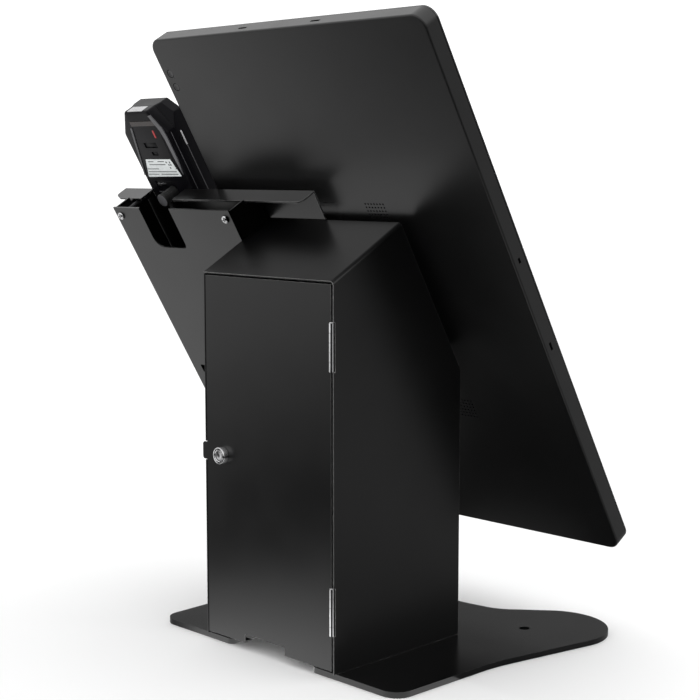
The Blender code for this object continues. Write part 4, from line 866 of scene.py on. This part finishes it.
def make_hinge(which):
    """Polished leaves rolled into knuckles with an open seam, on a pin with a flat cap; the pin's shaft is
    painted near black as shade in the seam.
    """
    low = HINGE_CENTRES[which] - HINGE_HEIGHT / 2
    pitch = HINGE_HEIGHT / KNUCKLES
    axis = Vector((HINGE_AXIS.x, HINGE_AXIS.y, low))
    up = Vector((0, 0, 1))
    seam = block((0, -SEAM_WIDTH / 2, -GAP), (2 * KNUCKLE_RADIUS, SEAM_WIDTH / 2, HINGE_HEIGHT + GAP))
    seam.transform(Matrix.Translation(axis) @ Matrix.Rotation(math.radians(135), 4, "Z"))
    for side, first, leaf_x in (("frame", 0, FRAME_LEAF_X), ("door", 1, DOOR_LEAF_X)):
        own = []
        other = []
        for knuckle in range(KNUCKLES):
            start = axis + up * (pitch * knuckle + GAP / 2)
            end = start + up * (pitch - GAP)
            if knuckle % 2 == first:
                own.append(rod(start, end, KNUCKLE_RADIUS))
            else:
                other.append(rod(start - up * GAP, end + up * GAP, KNUCKLE_RADIUS + GAP))
        leaf = block((leaf_x, axis.y - LEAF_DEPTH, low + GAP),
                     (leaf_x + LEAF_THICKNESS, axis.y - LEAF_CLEAR_OF_AXIS, low + HINGE_HEIGHT - GAP))
        mesh = boolean(boolean(leaf, joined(own), "UNION"), joined(other))
        mesh = boolean(mesh, rod(axis - up * GAP, axis + up * (HINGE_HEIGHT + GAP), HINGE_PIN_RADIUS))
        mesh = boolean(mesh, seam)
        remake(f"hinge_{which}_{side}_leaf", mesh, "chrome", bevel=0.12 * MM)
    top = HINGE_HEIGHT + 0.1 * MM
    cap = KNUCKLE_RADIUS * 0.95
    pin = [
        (0, top + 1.0 * MM), (0.6 * cap, top + 0.9 * MM), (0.92 * cap, top + 0.6 * MM), (cap, top + 0.3 * MM),
        (cap, top), (HINGE_PIN_RADIUS - 0.1 * MM, top), (HINGE_PIN_RADIUS - 0.1 * MM, 0), (0, 0),
    ]
    # The shaft below the cap is painted near-black steel: painted shade in the knuckles' open seam.
    mesh = paint(turned(pin), lambda place: place.z < top)
    mesh.transform(Matrix.Translation(axis))
    remake(f"hinge_{which}_pin", mesh, "chrome", edge="dark_steel")


def make_lock():
    """A chrome cam lock: ringed face, plug with a keyway, hexagon nut and bent cam behind the door."""
    place = along(LOCK_AXIS, (0, 1, 0))
    bore = LOCK_PLUG_RADIUS + GAP
    face = LOCK_PROUD
    groove_low = LOCK_FACE_RADIUS - 2 * MM
    groove_high = groove_low + 0.7 * MM
    back = -LOCK_DEPTH
    body = [
        (bore, back), (bore, face - 0.4 * MM), (bore + 0.4 * MM, face), (groove_low, face),
        (groove_low + 0.15 * MM, face - 0.25 * MM), (groove_high - 0.15 * MM, face - 0.25 * MM),
        (groove_high, face), (LOCK_FACE_RADIUS - 0.8 * MM, face),
        (LOCK_FACE_RADIUS - 0.25 * MM, face - 0.25 * MM), (LOCK_FACE_RADIUS, face - 0.8 * MM),
        (LOCK_FACE_RADIUS, GAP), (LOCK_BARREL_RADIUS, GAP), (LOCK_BARREL_RADIUS, back),
    ]
    mesh = turned(body, closed=True, steps=64)
    mesh.transform(place)
    remake("lock_body", mesh, "chrome")

    plug_face = face - 0.5 * MM
    end = back - NUT_THICKNESS
    plug = [
        (0, plug_face - 0.15 * MM), (0.55 * LOCK_PLUG_RADIUS, plug_face - 0.15 * MM),
        (0.62 * LOCK_PLUG_RADIUS, plug_face), (LOCK_PLUG_RADIUS - 0.4 * MM, plug_face),
        (LOCK_PLUG_RADIUS, plug_face - 0.4 * MM), (LOCK_PLUG_RADIUS, end), (0, end),
    ]
    keyway = block((-KEYWAY[0] / 2, -KEYWAY[1] / 2, plug_face - 4 * MM), (KEYWAY[0] / 2, KEYWAY[1] / 2, face))
    eye = rod((0, 0, plug_face - 4 * MM), (0, 0, face), KEYWAY[0])
    mesh = boolean(boolean(turned(plug, steps=48), keyway), eye)
    mesh.transform(place)
    remake("lock_plug", mesh, "steel", smooth=30)

    nut_rear = REAR - SHEET - GAP
    hexagon = circle((LOCK_AXIS.x, -LOCK_AXIS.z), NUT_RADIUS, 6)
    hole = circle((LOCK_AXIS.x, -LOCK_AXIS.z), LOCK_BARREL_RADIUS + GAP, 40)
    mesh = plate([hexagon, hole], nut_rear - NUT_THICKNESS, nut_rear, LEVEL)
    remake("lock_nut", mesh, "steel", bevel=0.35 * MM)
    refine("lock_cam", "steel", bevel=0.3 * MM)


# ---------------------------------------------------------------- display


def display_outline(inset, steps=12):
    low, high = slope_box("touch_glass")
    radius = DISPLAY_CORNER - inset
    return rectangle(low.x + inset, high.x - inset, low.y + inset, high.y - inset, radius, steps)


def housing_hole(x, up, back, radius, steps=32):
    """A tool for a round hole through the housing's back wall."""
    return peg(x, up, back - 1 * MM, back + 4 * MM, radius, steps)


def hole_grid(low_x, low_up, columns, rows, pitch, radius, back):
    """Rods through the housing's back, on a square grid from its lowest corner."""
    places = [
        (low_x + column * pitch, low_up + row * pitch) for column in range(columns) for row in range(rows)
    ]
    return [housing_hole(x, up, back, radius, 16) for x, up in places]


def make_display_housing():
    """A thin moulded pan with its ports, buttons, speaker holes and cooling slots cut through."""
    low, high = slope_box("display_rear_housing")
    back = low.z
    rings = [(display_outline(0), high.z)]
    for angle in range(90, -1, -18):
        turn = math.radians(angle)
        inset = HOUSING_EDGE * (1 - math.sin(turn))
        rings.append((display_outline(inset), back + HOUSING_EDGE * (1 - math.cos(turn))))
    mesh = thickened(ring_surface(rings), HOUSING_WALL, (0, 0, -1))
    port_low_x, port_high_x, port_low, port_high = PORT_BAY
    tools = [block((port_low_x, port_low, back - 1 * MM), (port_high_x, port_high, back + 4 * MM))]
    tools += [housing_hole(x, up, back, BUTTON_RADIUS + GAP) for x, up in BUTTON_SPOTS]
    for number in range(1, 5):
        spot = centre_of(f"display_screw_{number}")
        tools.append(housing_hole(spot.x, spot.y, back, SCREW_HOLE_RADIUS, 24))
    for grille in GRILLES:
        tools += hole_grid(*grille, back)
    middle = (low.z + high.z) / 2
    for low_x, high_x in TOP_SLOTS:
        tools.append(block((low_x, high.y - 4 * MM, middle - SLOT_HALF_HEIGHT),
                           (high_x, high.y + 1 * MM, middle + SLOT_HALF_HEIGHT)))
    for low_up, high_up in SIDE_SLOTS:
        tools.append(block((low.x - 1 * MM, low_up, middle - SLOT_HALF_HEIGHT),
                           (low.x + 4 * MM, high_up, middle + SLOT_HALF_HEIGHT)))
    mesh = boolean(mesh, joined(tools))
    add_on_slope("display_housing_finished", mesh, "display", replaces=["display_rear_housing"],
                 edge="display_edge", bevel=0.2 * MM, segments=1)
    refine("port_cover", "display", "display_edge", bevel=0.25 * MM)
    grips = [
        block((x, port_high - 5.5 * MM, back + 0.1 * MM),
              (x + 9 * MM, port_high - 4.3 * MM, back + 0.5 * MM))
        for x in (port_low_x + 18 * MM, port_high_x - 27 * MM)
    ]
    add_on_slope("port_cover_grips", joined(grips), "display_edge", slot="display_plastic")


def make_glass():
    """Edge-to-edge glass with ground edges; the screen's area is a touch lighter than its black border."""
    low, high = slope_box("touch_glass")
    ground = 0.5 * MM
    rings = [
        (display_outline(ground), low.z), (display_outline(0), low.z + ground),
        (display_outline(0), high.z - ground), (display_outline(0.3 * ground), high.z - 0.3 * ground),
        (display_outline(ground), high.z), (display_outline(SCREEN_BORDER), high.z),
    ]
    mesh = ring_surface(rings, cap=1)
    add_on_slope("glass_finished", mesh, "glass", replaces=["touch_glass"], edge="glass_active", smooth=20)


def make_display_buttons():
    for node, (x, up) in zip(("power_button", "menu_button"), BUTTON_SPOTS):
        low, high = slope_box(node)
        length = high.z - low.z
        profile = [
            (0, -0.35 * MM), (0.45 * BUTTON_RADIUS, -0.25 * MM), (0.75 * BUTTON_RADIUS, 0),
            (BUTTON_RADIUS - 0.4 * MM, 0), (BUTTON_RADIUS, -0.5 * MM), (BUTTON_RADIUS, -length), (0, -length),
        ]
        mesh = turned(profile)
        mesh.transform(along((x, up, low.z), (0, 0, -1)))
        remake_on_slope(node, mesh, "display_edge")


# ---------------------------------------------------------------- screws


def centre_of(node):
    low, high = slope_box(node)
    return (low + high) / 2


def make_screws():
    """Pan heads with a cross recess and a plain shank, facing the rear."""
    arm = 0.55 * SCREW_HEAD_RADIUS
    half = 0.13 * SCREW_HEAD_RADIUS
    quarter = [(arm, half), (half, half), (half, arm)]
    cross = []
    for turn in range(4):
        spun = [Matrix.Rotation(turn * math.pi / 2, 2) @ Vector(corner) for corner in quarter]
        cross += spun
    head = SCREW_HEAD_RADIUS
    for node in NODES:
        if "screw" not in node:
            continue
        low, high = slope_box(node)
        tall = SCREW_HEAD_HEIGHT
        shank = high.z - low.z - tall
        profile = [
            (0, tall), (0.45 * head, 0.98 * tall), (0.75 * head, 0.86 * tall), (0.93 * head, 0.62 * tall),
            (head, 0.35 * tall), (head, 0.08 * tall), (0.95 * head, 0),
        ]
        if shank > GAP:
            profile += [(SCREW_RADIUS, 0), (SCREW_RADIUS, SCREW_POINT - shank),
                        (SCREW_RADIUS - SCREW_POINT, -shank), (0, -shank)]
        else:
            profile.append((0, 0))
        mesh = boolean(turned(profile), plate([cross], 0.35 * tall, tall + 1 * MM))
        middle = centre_of(node)
        mesh.transform(along((middle.x, middle.y, low.z + tall), (0, 0, -1)))
        remake_on_slope(node, mesh, "screw", smooth=40)


# ---------------------------------------------------------------- payment terminal


def terminal_outline(inset, cut_away=TERMINAL_SHOULDER, steps=8):
    """A long body with its top corners cut away and its foot corners rounded."""
    low, high = slope_box("terminal_rear_housing")
    centre = (low.x + high.x) / 2
    half = (high.x - low.x) / 2 - inset
    top = high.y - inset
    bottom = low.y + inset
    half_top = half - cut_away[0]
    shoulder = top - cut_away[1]
    corner = 4 * MM
    foot = TERMINAL_FOOT_RADIUS - inset
    corners = [
        (half, bottom, foot), (half, shoulder, corner), (half_top, top, corner),
        (-half_top, top, corner), (-half, shoulder, corner), (-half, bottom, foot),
    ]
    return rounded([(centre + x, up, radius) for x, up, radius in corners], steps)


def eased_rings(edge, face, way, cut_away):
    """Rings up to the face of a shell, round an edge that is a quarter round."""
    rings = []
    for angle in range(0, 91, 18):
        turn = math.radians(angle)
        inset = edge * (1 - math.cos(turn))
        rings.append((terminal_outline(inset, cut_away), face - way * edge * (1 - math.sin(turn))))
    return rings


def paint(mesh, look_at):
    """Gives the second material to the faces whose middle passes a test."""
    for polygon in mesh.polygons:
        if look_at(polygon.center):
            polygon.material_index = 1
    return mesh


def add_to_terminal(name, mesh, look, bevel=0):
    return add_on_slope(name, mesh, look, slot="terminal_plastic", bevel=bevel)


def badge(name, outline, proud, look):
    """A thin raised shape on the terminal's rear face."""
    face = slope_box("terminal_rear_housing")[0].z
    mesh = plate([outline], face - proud, face + 0.1 * MM)
    add_to_terminal(name, mesh, look, min(0.1 * MM, proud * 0.4))


def make_terminal_rear():
    """The rear shell with its pockets, dark liners and contacts, and a silver strip along the top."""
    low, high = slope_box("terminal_rear_housing")
    rings = [(terminal_outline(0), high.z), *eased_rings(2.5 * MM, low.z, -1, TERMINAL_SHOULDER)]
    mesh = thickened(ring_surface(rings), TERMINAL_WALL, (0, 0, -1))
    face = low.z
    pockets = [
        block((low_x, low_up, face - 1 * MM), (high_x, high_up, face + POCKET_DEPTH))
        for low_x, high_x, low_up, high_up in TERMINAL_POCKETS
    ]
    socket = peg(PLUG_X, PLUG_UP, face - 1 * MM, face + 5 * MM, SOCKET_RADIUS)
    mesh = boolean(boolean(mesh, joined(pockets)), socket)
    add_on_slope("terminal_rear_finished", mesh, "terminal", replaces=["terminal_rear_housing"], smooth=30)
    strip = block((low.x + TERMINAL_SHOULDER[0] + 10 * MM, high.y - 1 * MM, low.z + 1 * MM),
                  (high.x - TERMINAL_SHOULDER[0] - 6 * MM, high.y + 0.25 * MM, high.z - 1 * MM))
    add_to_terminal("terminal_silver_strip", strip, "silver_paint", 0.2 * MM)
    liners = [
        block((low_x + GAP, low_up + GAP, face + POCKET_DEPTH - 0.5 * MM),
              (high_x - GAP, high_up - GAP, face + POCKET_DEPTH + 0.2 * MM), bevel=0.15 * MM)
        for low_x, high_x, low_up, high_up in TERMINAL_POCKETS
    ]
    add_to_terminal("terminal_pocket_liners", joined(liners), "terminal_dark")
    contacts = [
        block((x, CONTACTS_LOW, face + POCKET_DEPTH - 0.9 * MM),
              (x + 1.2 * MM, CONTACTS_LOW + 5 * MM, face + POCKET_DEPTH - 0.4 * MM), bevel=0.1 * MM)
        for x in (CONTACTS_START + 2.6 * MM * number for number in range(6))
    ]
    add_on_slope("terminal_contacts", joined(contacts), "chrome", slot="bright_metal")


def printed(name, outlines, proud, face):
    """Flat shapes in ink, a hair above the label on the terminal's rear face."""
    shapes = [plate([outline], face - proud, face - 0.1 * MM) for outline in outlines]
    add_to_terminal(name, joined(shapes), "ink")


def make_terminal_marks():
    """Raised strips, a label with plain bars, the two long ridges and rows of grip ribs."""
    low, high = slope_box("terminal_rear_housing")
    face = low.z
    for name, (low_x, high_x, start, end, proud, look) in TOP_BADGES.items():
        outline = rectangle(low_x * MM, high_x * MM, high.y - start * MM, high.y - end * MM, 1 * MM)
        badge(name, outline, proud * MM, look)
    badge("terminal_label", rounded([mm(x, up, 1) for x, up in TERMINAL_LABEL]), 0.2 * MM, "label")
    bars = [rectangle(*mm(low_x, high_x, up, up + BAR_HEIGHT)) for low_x, high_x, up in LABEL_BARS]
    printed("terminal_label_bars", bars, 0.26 * MM, face)
    squares = [rectangle(*mm(x, x + SQUARE_WIDTH, up, up + SQUARE_WIDTH)) for x, up in LABEL_SQUARES]
    printed("terminal_label_squares", squares, 0.27 * MM, face)
    badge("terminal_rail", rounded([mm(*corner) for corner in TERMINAL_RAIL]), 0.8 * MM, "terminal_grey")
    badge("terminal_ridge", [Vector(mm(*corner)) for corner in TERMINAL_RIDGE], 1.2 * MM, "terminal_light")
    badge("terminal_lower_line", rectangle(*LOWER_LINE), 0.4 * MM, "terminal_light")
    rib_width, rib_height = GRIP_RIB
    ribs = [
        plate([rectangle(x, x + rib_width, up, up + rib_height)], face - 0.35 * MM, face + 0.1 * MM)
        for x in GRIP_COLUMNS for up in (GRIP_START + GRIP_PITCH * number for number in range(GRIP_ROWS))
    ]
    add_to_terminal("terminal_ribs", joined(ribs), "terminal_dark")


def make_terminal_sides():
    """Pale seam lines and a crease down both long sides, and on each side a short silver mark near the top
    that is a painted highlight.
    """
    low, high = slope_box("terminal_rear_housing")
    lines = []
    for x in (low.x, high.x):
        for depth, tall, start, end in SIDE_LINES:
            lines.append(block((x - 0.2 * MM, start, depth - tall / 2), (x + 0.2 * MM, end, depth + tall / 2),
                               bevel=0.1 * MM))
    add_to_terminal("terminal_side_lines", joined(lines), "terminal_light")
    # A short silver mark on each side near the top: a painted highlight.
    start, end, depth = SIDE_HIGHLIGHT
    highlight_ticks = [
        block((x - 0.3 * MM, start, depth - 1 * MM), (x + 0.3 * MM, end, depth + 1 * MM), bevel=0.2 * MM)
        for x in (low.x, high.x)
    ]
    add_to_terminal("terminal_side_highlights", joined(highlight_ticks), "silver_paint")


def make_terminal_front():
    """The front shell with wells for the keys, the lens in its bezel, four lamps and a card slot."""
    low, high = slope_box("terminal_front_housing")
    rings = [
        (terminal_outline(0), low.z),
        (terminal_outline(0, TERMINAL_FRONT_SHOULDER), low.z + TERMINAL_FLARE),
        *eased_rings(1.8 * MM, high.z, 1, TERMINAL_FRONT_SHOULDER),
    ]
    mesh = thickened(ring_surface(rings), TERMINAL_WALL, (0, 0, 1))
    clear = Vector((0.4 * MM, 0.4 * MM, 0))
    above = Vector((0, 0, 4 * MM))
    wells = []
    for node in NODES:
        if node.startswith("key_"):
            key_low, key_high = slope_box(node)
            wells.append(block(key_low - clear, key_high + clear + above))
    lens_low, lens_high = slope_box("terminal_lens")
    pocket = block(lens_low - clear, lens_high + clear + above)
    centre = (low.x + high.x) / 2
    slot_depth = (low.z + high.z) / 2
    card_slot = block((centre - CARD_SLOT_HALF, low.y - 1 * MM, slot_depth - 0.8 * MM),
                      (centre + CARD_SLOT_HALF, low.y + 8 * MM, slot_depth + 0.8 * MM))
    mesh = boolean(boolean(boolean(mesh, joined(wells)), pocket), card_slot)
    add_on_slope("terminal_front_finished", mesh, "terminal", replaces=["terminal_front_housing"],
                 edge="terminal_grey", bevel=0.25 * MM)
    outer, inner = (
        rectangle(lens_low.x - past, lens_high.x + past, lens_low.y - past, lens_high.y + past, radius)
        for past, radius in (mm(2.5, 2.5), mm(0.5, 0.8))
    )
    bezel = plate([outer, inner], high.z - 0.1 * MM, high.z + 0.5 * MM)
    add_to_terminal("terminal_bezel", bezel, "terminal_dark", 0.15 * MM)
    lens = block(lens_low, lens_high, bevel=0.25 * MM)
    remake_on_slope("terminal_lens", lens, "glass_active")
    lamps = [
        peg(centre + (number - 1.5) * LAMP_PITCH, lens_high.y + 7 * MM, high.z - 0.2 * MM,
            high.z + 0.3 * MM, 1.3 * MM, 24)
        for number in range(4)
    ]
    add_on_slope("terminal_lamps", joined(lamps), "key_green", slot="key_green", bevel=0.1 * MM)


def glyph(character, size, depth):
    """A raised character, flat in x and y."""
    curve = bpy.data.curves.new("glyph", "FONT")
    curve.body = character
    curve.size = size
    curve.extrude = depth / 2
    curve.align_x = "CENTER"
    curve.align_y = "CENTER"
    return tidied(evaluated_mesh(bpy.data.objects.new("glyph", curve)))


def make_keys():
    """Domed rubber keys with raised figures; the bottom row has plain signs."""
    signs = {"star": "*", "hash": "#", "cancel": "X", "clear": "<", "enter": "O"}
    looks = {"cancel": "key_red", "clear": "key_yellow", "enter": "key_green"}
    for node in NODES:
        if not node.startswith("key_"):
            continue
        name = node.removeprefix("key_")
        low, high = slope_box(node)
        cap = block(low, high - Vector((0, 0, KEY_CROWN)), bevel=1.1 * MM, segments=4)
        legend = paint(glyph(signs.get(name, name), KEY_FIGURE, 2 * KEY_CROWN), lambda place: True)
        middle = (low + high) / 2
        legend.transform(Matrix.Translation((middle.x, middle.y, high.z - KEY_CROWN)))
        remake_on_slope(node, joined([cap, legend]), looks.get(name, "key"), edge="legend")


def make_plug():
    """The angled plug: a ribbed black barrel with a grey end disc."""
    low, high = slope_box("terminal_plug")
    end = -low.z
    waist = PLUG_RADIUS - 0.5 * MM
    profile = [(0, end), (PLUG_RADIUS - 1 * MM, end), (PLUG_RADIUS - 0.3 * MM, end - 0.3 * MM),
               (PLUG_RADIUS, end - 1 * MM), (PLUG_RADIUS, end - 2 * MM), (waist, end - 2.2 * MM)]
    bottom = waist - GROOVE_DEPTH
    for groove in range(PLUG_GROOVES):
        start = end - 4.5 * MM - groove * GROOVE_PITCH
        profile += [(waist, start), (bottom, start - 0.4 * MM), (bottom, start - 1 * MM),
                    (waist, start - 1.4 * MM)]
    face = GAP - TERMINAL_BACK
    profile += [(waist, face), (PLUG_TIP_RADIUS, face), (PLUG_TIP_RADIUS, -high.z), (0, -high.z)]
    mesh = turned(profile, steps=48)
    mesh.transform(along((PLUG_X, PLUG_UP, 0), (0, 0, -1)))
    paint(mesh, lambda place: place.z < low.z + 0.5 * MM)
    remake_on_slope("terminal_plug", mesh, "rubber", edge="terminal_grey")


def make_grommet():
    """A soft ring with rolled lips, through the side panel and the cover's wall."""
    low, high = world_box("cable_grommet")
    middle = (low + high) / 2
    wide = (high.z - low.z) / 2
    bore = GROMMET_BORE
    lip = GROMMET_LIP
    waist = wide - GROMMET_GROOVE
    half = (high.x - low.x) / 2
    eased = 0.5 * MM
    end = [
        (bore, -half + eased), (bore + eased, -half), (wide - eased, -half), (wide, -half + eased),
        (wide, -half + lip - 0.2 * MM), (wide - 0.3 * MM, -half + lip), (waist, -half + lip),
    ]
    profile = end + [(radius, -height) for radius, height in reversed(end)]
    mesh = turned(profile, closed=True, steps=48)
    mesh.transform(along(middle, (1, 0, 0)))
    remake("cable_grommet", mesh, "rubber")


# ---------------------------------------------------------------- inside the cabinet


def make_adapter():
    """A mains adapter: grip ribs, a blank rating label, a lamp, and pins in its inlet."""
    refine("power_adapter", "adapter", bevel=0)
    low, high = world_box("power_adapter")
    middle = (low + high) / 2
    count, first, pitch, width = ADAPTER_RIBS
    ribs = [
        block((x, low.y + 9 * MM, high.z - 0.3 * MM), (x + width, high.y - 9 * MM, high.z + 0.5 * MM),
              bevel=0.3 * MM)
        for x in (low.x + first + pitch * number for number in range(count))
    ]
    add_piece("adapter_ribs", joined(ribs), "adapter", slot="adapter_plastic")
    low_x, high_x, low_y, high_y = ADAPTER_LABEL
    label = rectangle(middle.x + low_x, middle.x + high_x, middle.y + low_y, middle.y + high_y, 2 * MM)
    add_piece("adapter_label", plate([label], high.z - 0.1 * MM, high.z + 0.15 * MM), "label",
              slot="adapter_plastic", bevel=0.05 * MM)
    bars = []
    left = middle.x - 17 * MM
    for row, length in enumerate(ADAPTER_BARS):
        start = middle.y + 13 * MM - row * 5 * MM
        outline = rectangle(left, left + length, start, start + 1.6 * MM)
        bars.append(plate([outline], high.z + 0.1 * MM, high.z + 0.22 * MM))
    add_piece("adapter_label_bars", joined(bars), "ink", slot="adapter_plastic")
    lamp = peg(high.x - 9 * MM, low.y + 10 * MM, high.z - 0.4 * MM, high.z + 0.4 * MM, 1.5 * MM)
    add_piece("adapter_lamp", lamp, "key_green", slot="key_green", bevel=0.2 * MM)
    pins = [
        rod((high.x - 16 * MM, middle.y + across, middle.z + up),
            (high.x - 5 * MM, middle.y + across, middle.z + up), 1.2 * MM, 20)
        for across, up in ADAPTER_PINS
    ]
    add_piece("adapter_pins", joined(pins), "steel", slot="bare_steel", bevel=0.2 * MM)


def make_interface_box():
    """The terminal's connection box: sockets in its rear face, cooling ribs and a blank label."""
    refine("interface_box", "adapter", bevel=0)
    low, high = world_box("interface_box")
    middle = (low + high) / 2
    rear = high.y
    shells = []
    cores = []
    count, first, pitch = SOCKETS
    foot, top = SOCKET_HEIGHTS
    side, under, thick = TONGUE
    for number in range(count):
        x = low.x + first + number * pitch
        outer, inner = (
            rectangle(x + wall, x + SOCKET_WIDTH - wall, -low.z - top + wall, -low.z - foot - wall, radius)
            for wall, radius in ((0, 0.8 * MM), (SOCKET_WALL, 0.4 * MM))
        )
        shells.append(plate([outer, inner], rear - 0.2 * MM, rear + 0.8 * MM, LEVEL))
        base = low.z + foot + under
        cores.append(block((x + side, rear - 0.2 * MM, base),
                           (x + SOCKET_WIDTH - side, rear + 0.4 * MM, base + thick), bevel=0.15 * MM))
    add_piece("interface_sockets", joined(shells), "steel", slot="bare_steel", bevel=0.15 * MM)
    add_piece("interface_socket_cores", joined(cores), "key", slot="key_plastic")
    count, first, pitch, width = BOX_RIBS
    ribs = [
        block((low.x + 10 * MM, rear - 0.2 * MM, z), (high.x - 10 * MM, rear + 0.6 * MM, z + width),
              bevel=0.25 * MM)
        for z in (high.z - first - pitch * number for number in range(count))
    ]
    add_piece("interface_ribs", joined(ribs), "adapter", slot="adapter_plastic")
    outline = rectangle(middle.x - 26 * MM, middle.x + 12 * MM, -middle.z - 5 * MM, -middle.z + 10 * MM,
                        1.5 * MM)
    add_piece("interface_label", plate([outline], rear - 0.1 * MM, rear + 0.15 * MM, LEVEL), "label",
              slot="adapter_plastic", bevel=0.05 * MM)
    lamps = [
        rod((middle.x + (20 + 6 * number) * MM, rear - 0.2 * MM, middle.z),
            (middle.x + (20 + 6 * number) * MM, rear + 0.4 * MM, middle.z), 1.2 * MM)
        for number in range(3)
    ]
    add_piece("interface_lamps", joined(lamps), "key_green", slot="key_green", bevel=0.15 * MM)


make_camera()
make_stage()
make_facing_cards()
make_base()
make_sheet_metal()
for hinge in HINGE_CENTRES:
    make_hinge(hinge)
make_lock()
make_display_housing()
make_glass()
make_display_buttons()
make_screws()
for standoff in ("left", "right"):
    refine(f"cover_standoff_{standoff}", "dark_steel", bevel=0.25 * MM)
make_terminal_rear()
make_terminal_marks()
make_terminal_sides()
make_terminal_front()
make_keys()
make_plug()
make_grommet()
refine("terminal_lead", "rubber", bevel=0)
make_adapter()
make_interface_box()

# The pieces that stay as the CAD made them, hidden inside the display and the terminal
CARRIED_LOOKS = {"lcd": "lcd", "circuit_board": "board"}
for node_name, node_object in NODES.items():
    node_object.data.materials.clear()
    node_object.data.materials.append(LOOKS[CARRIED_LOOKS.get(SLOTS[node_name], "powder")])
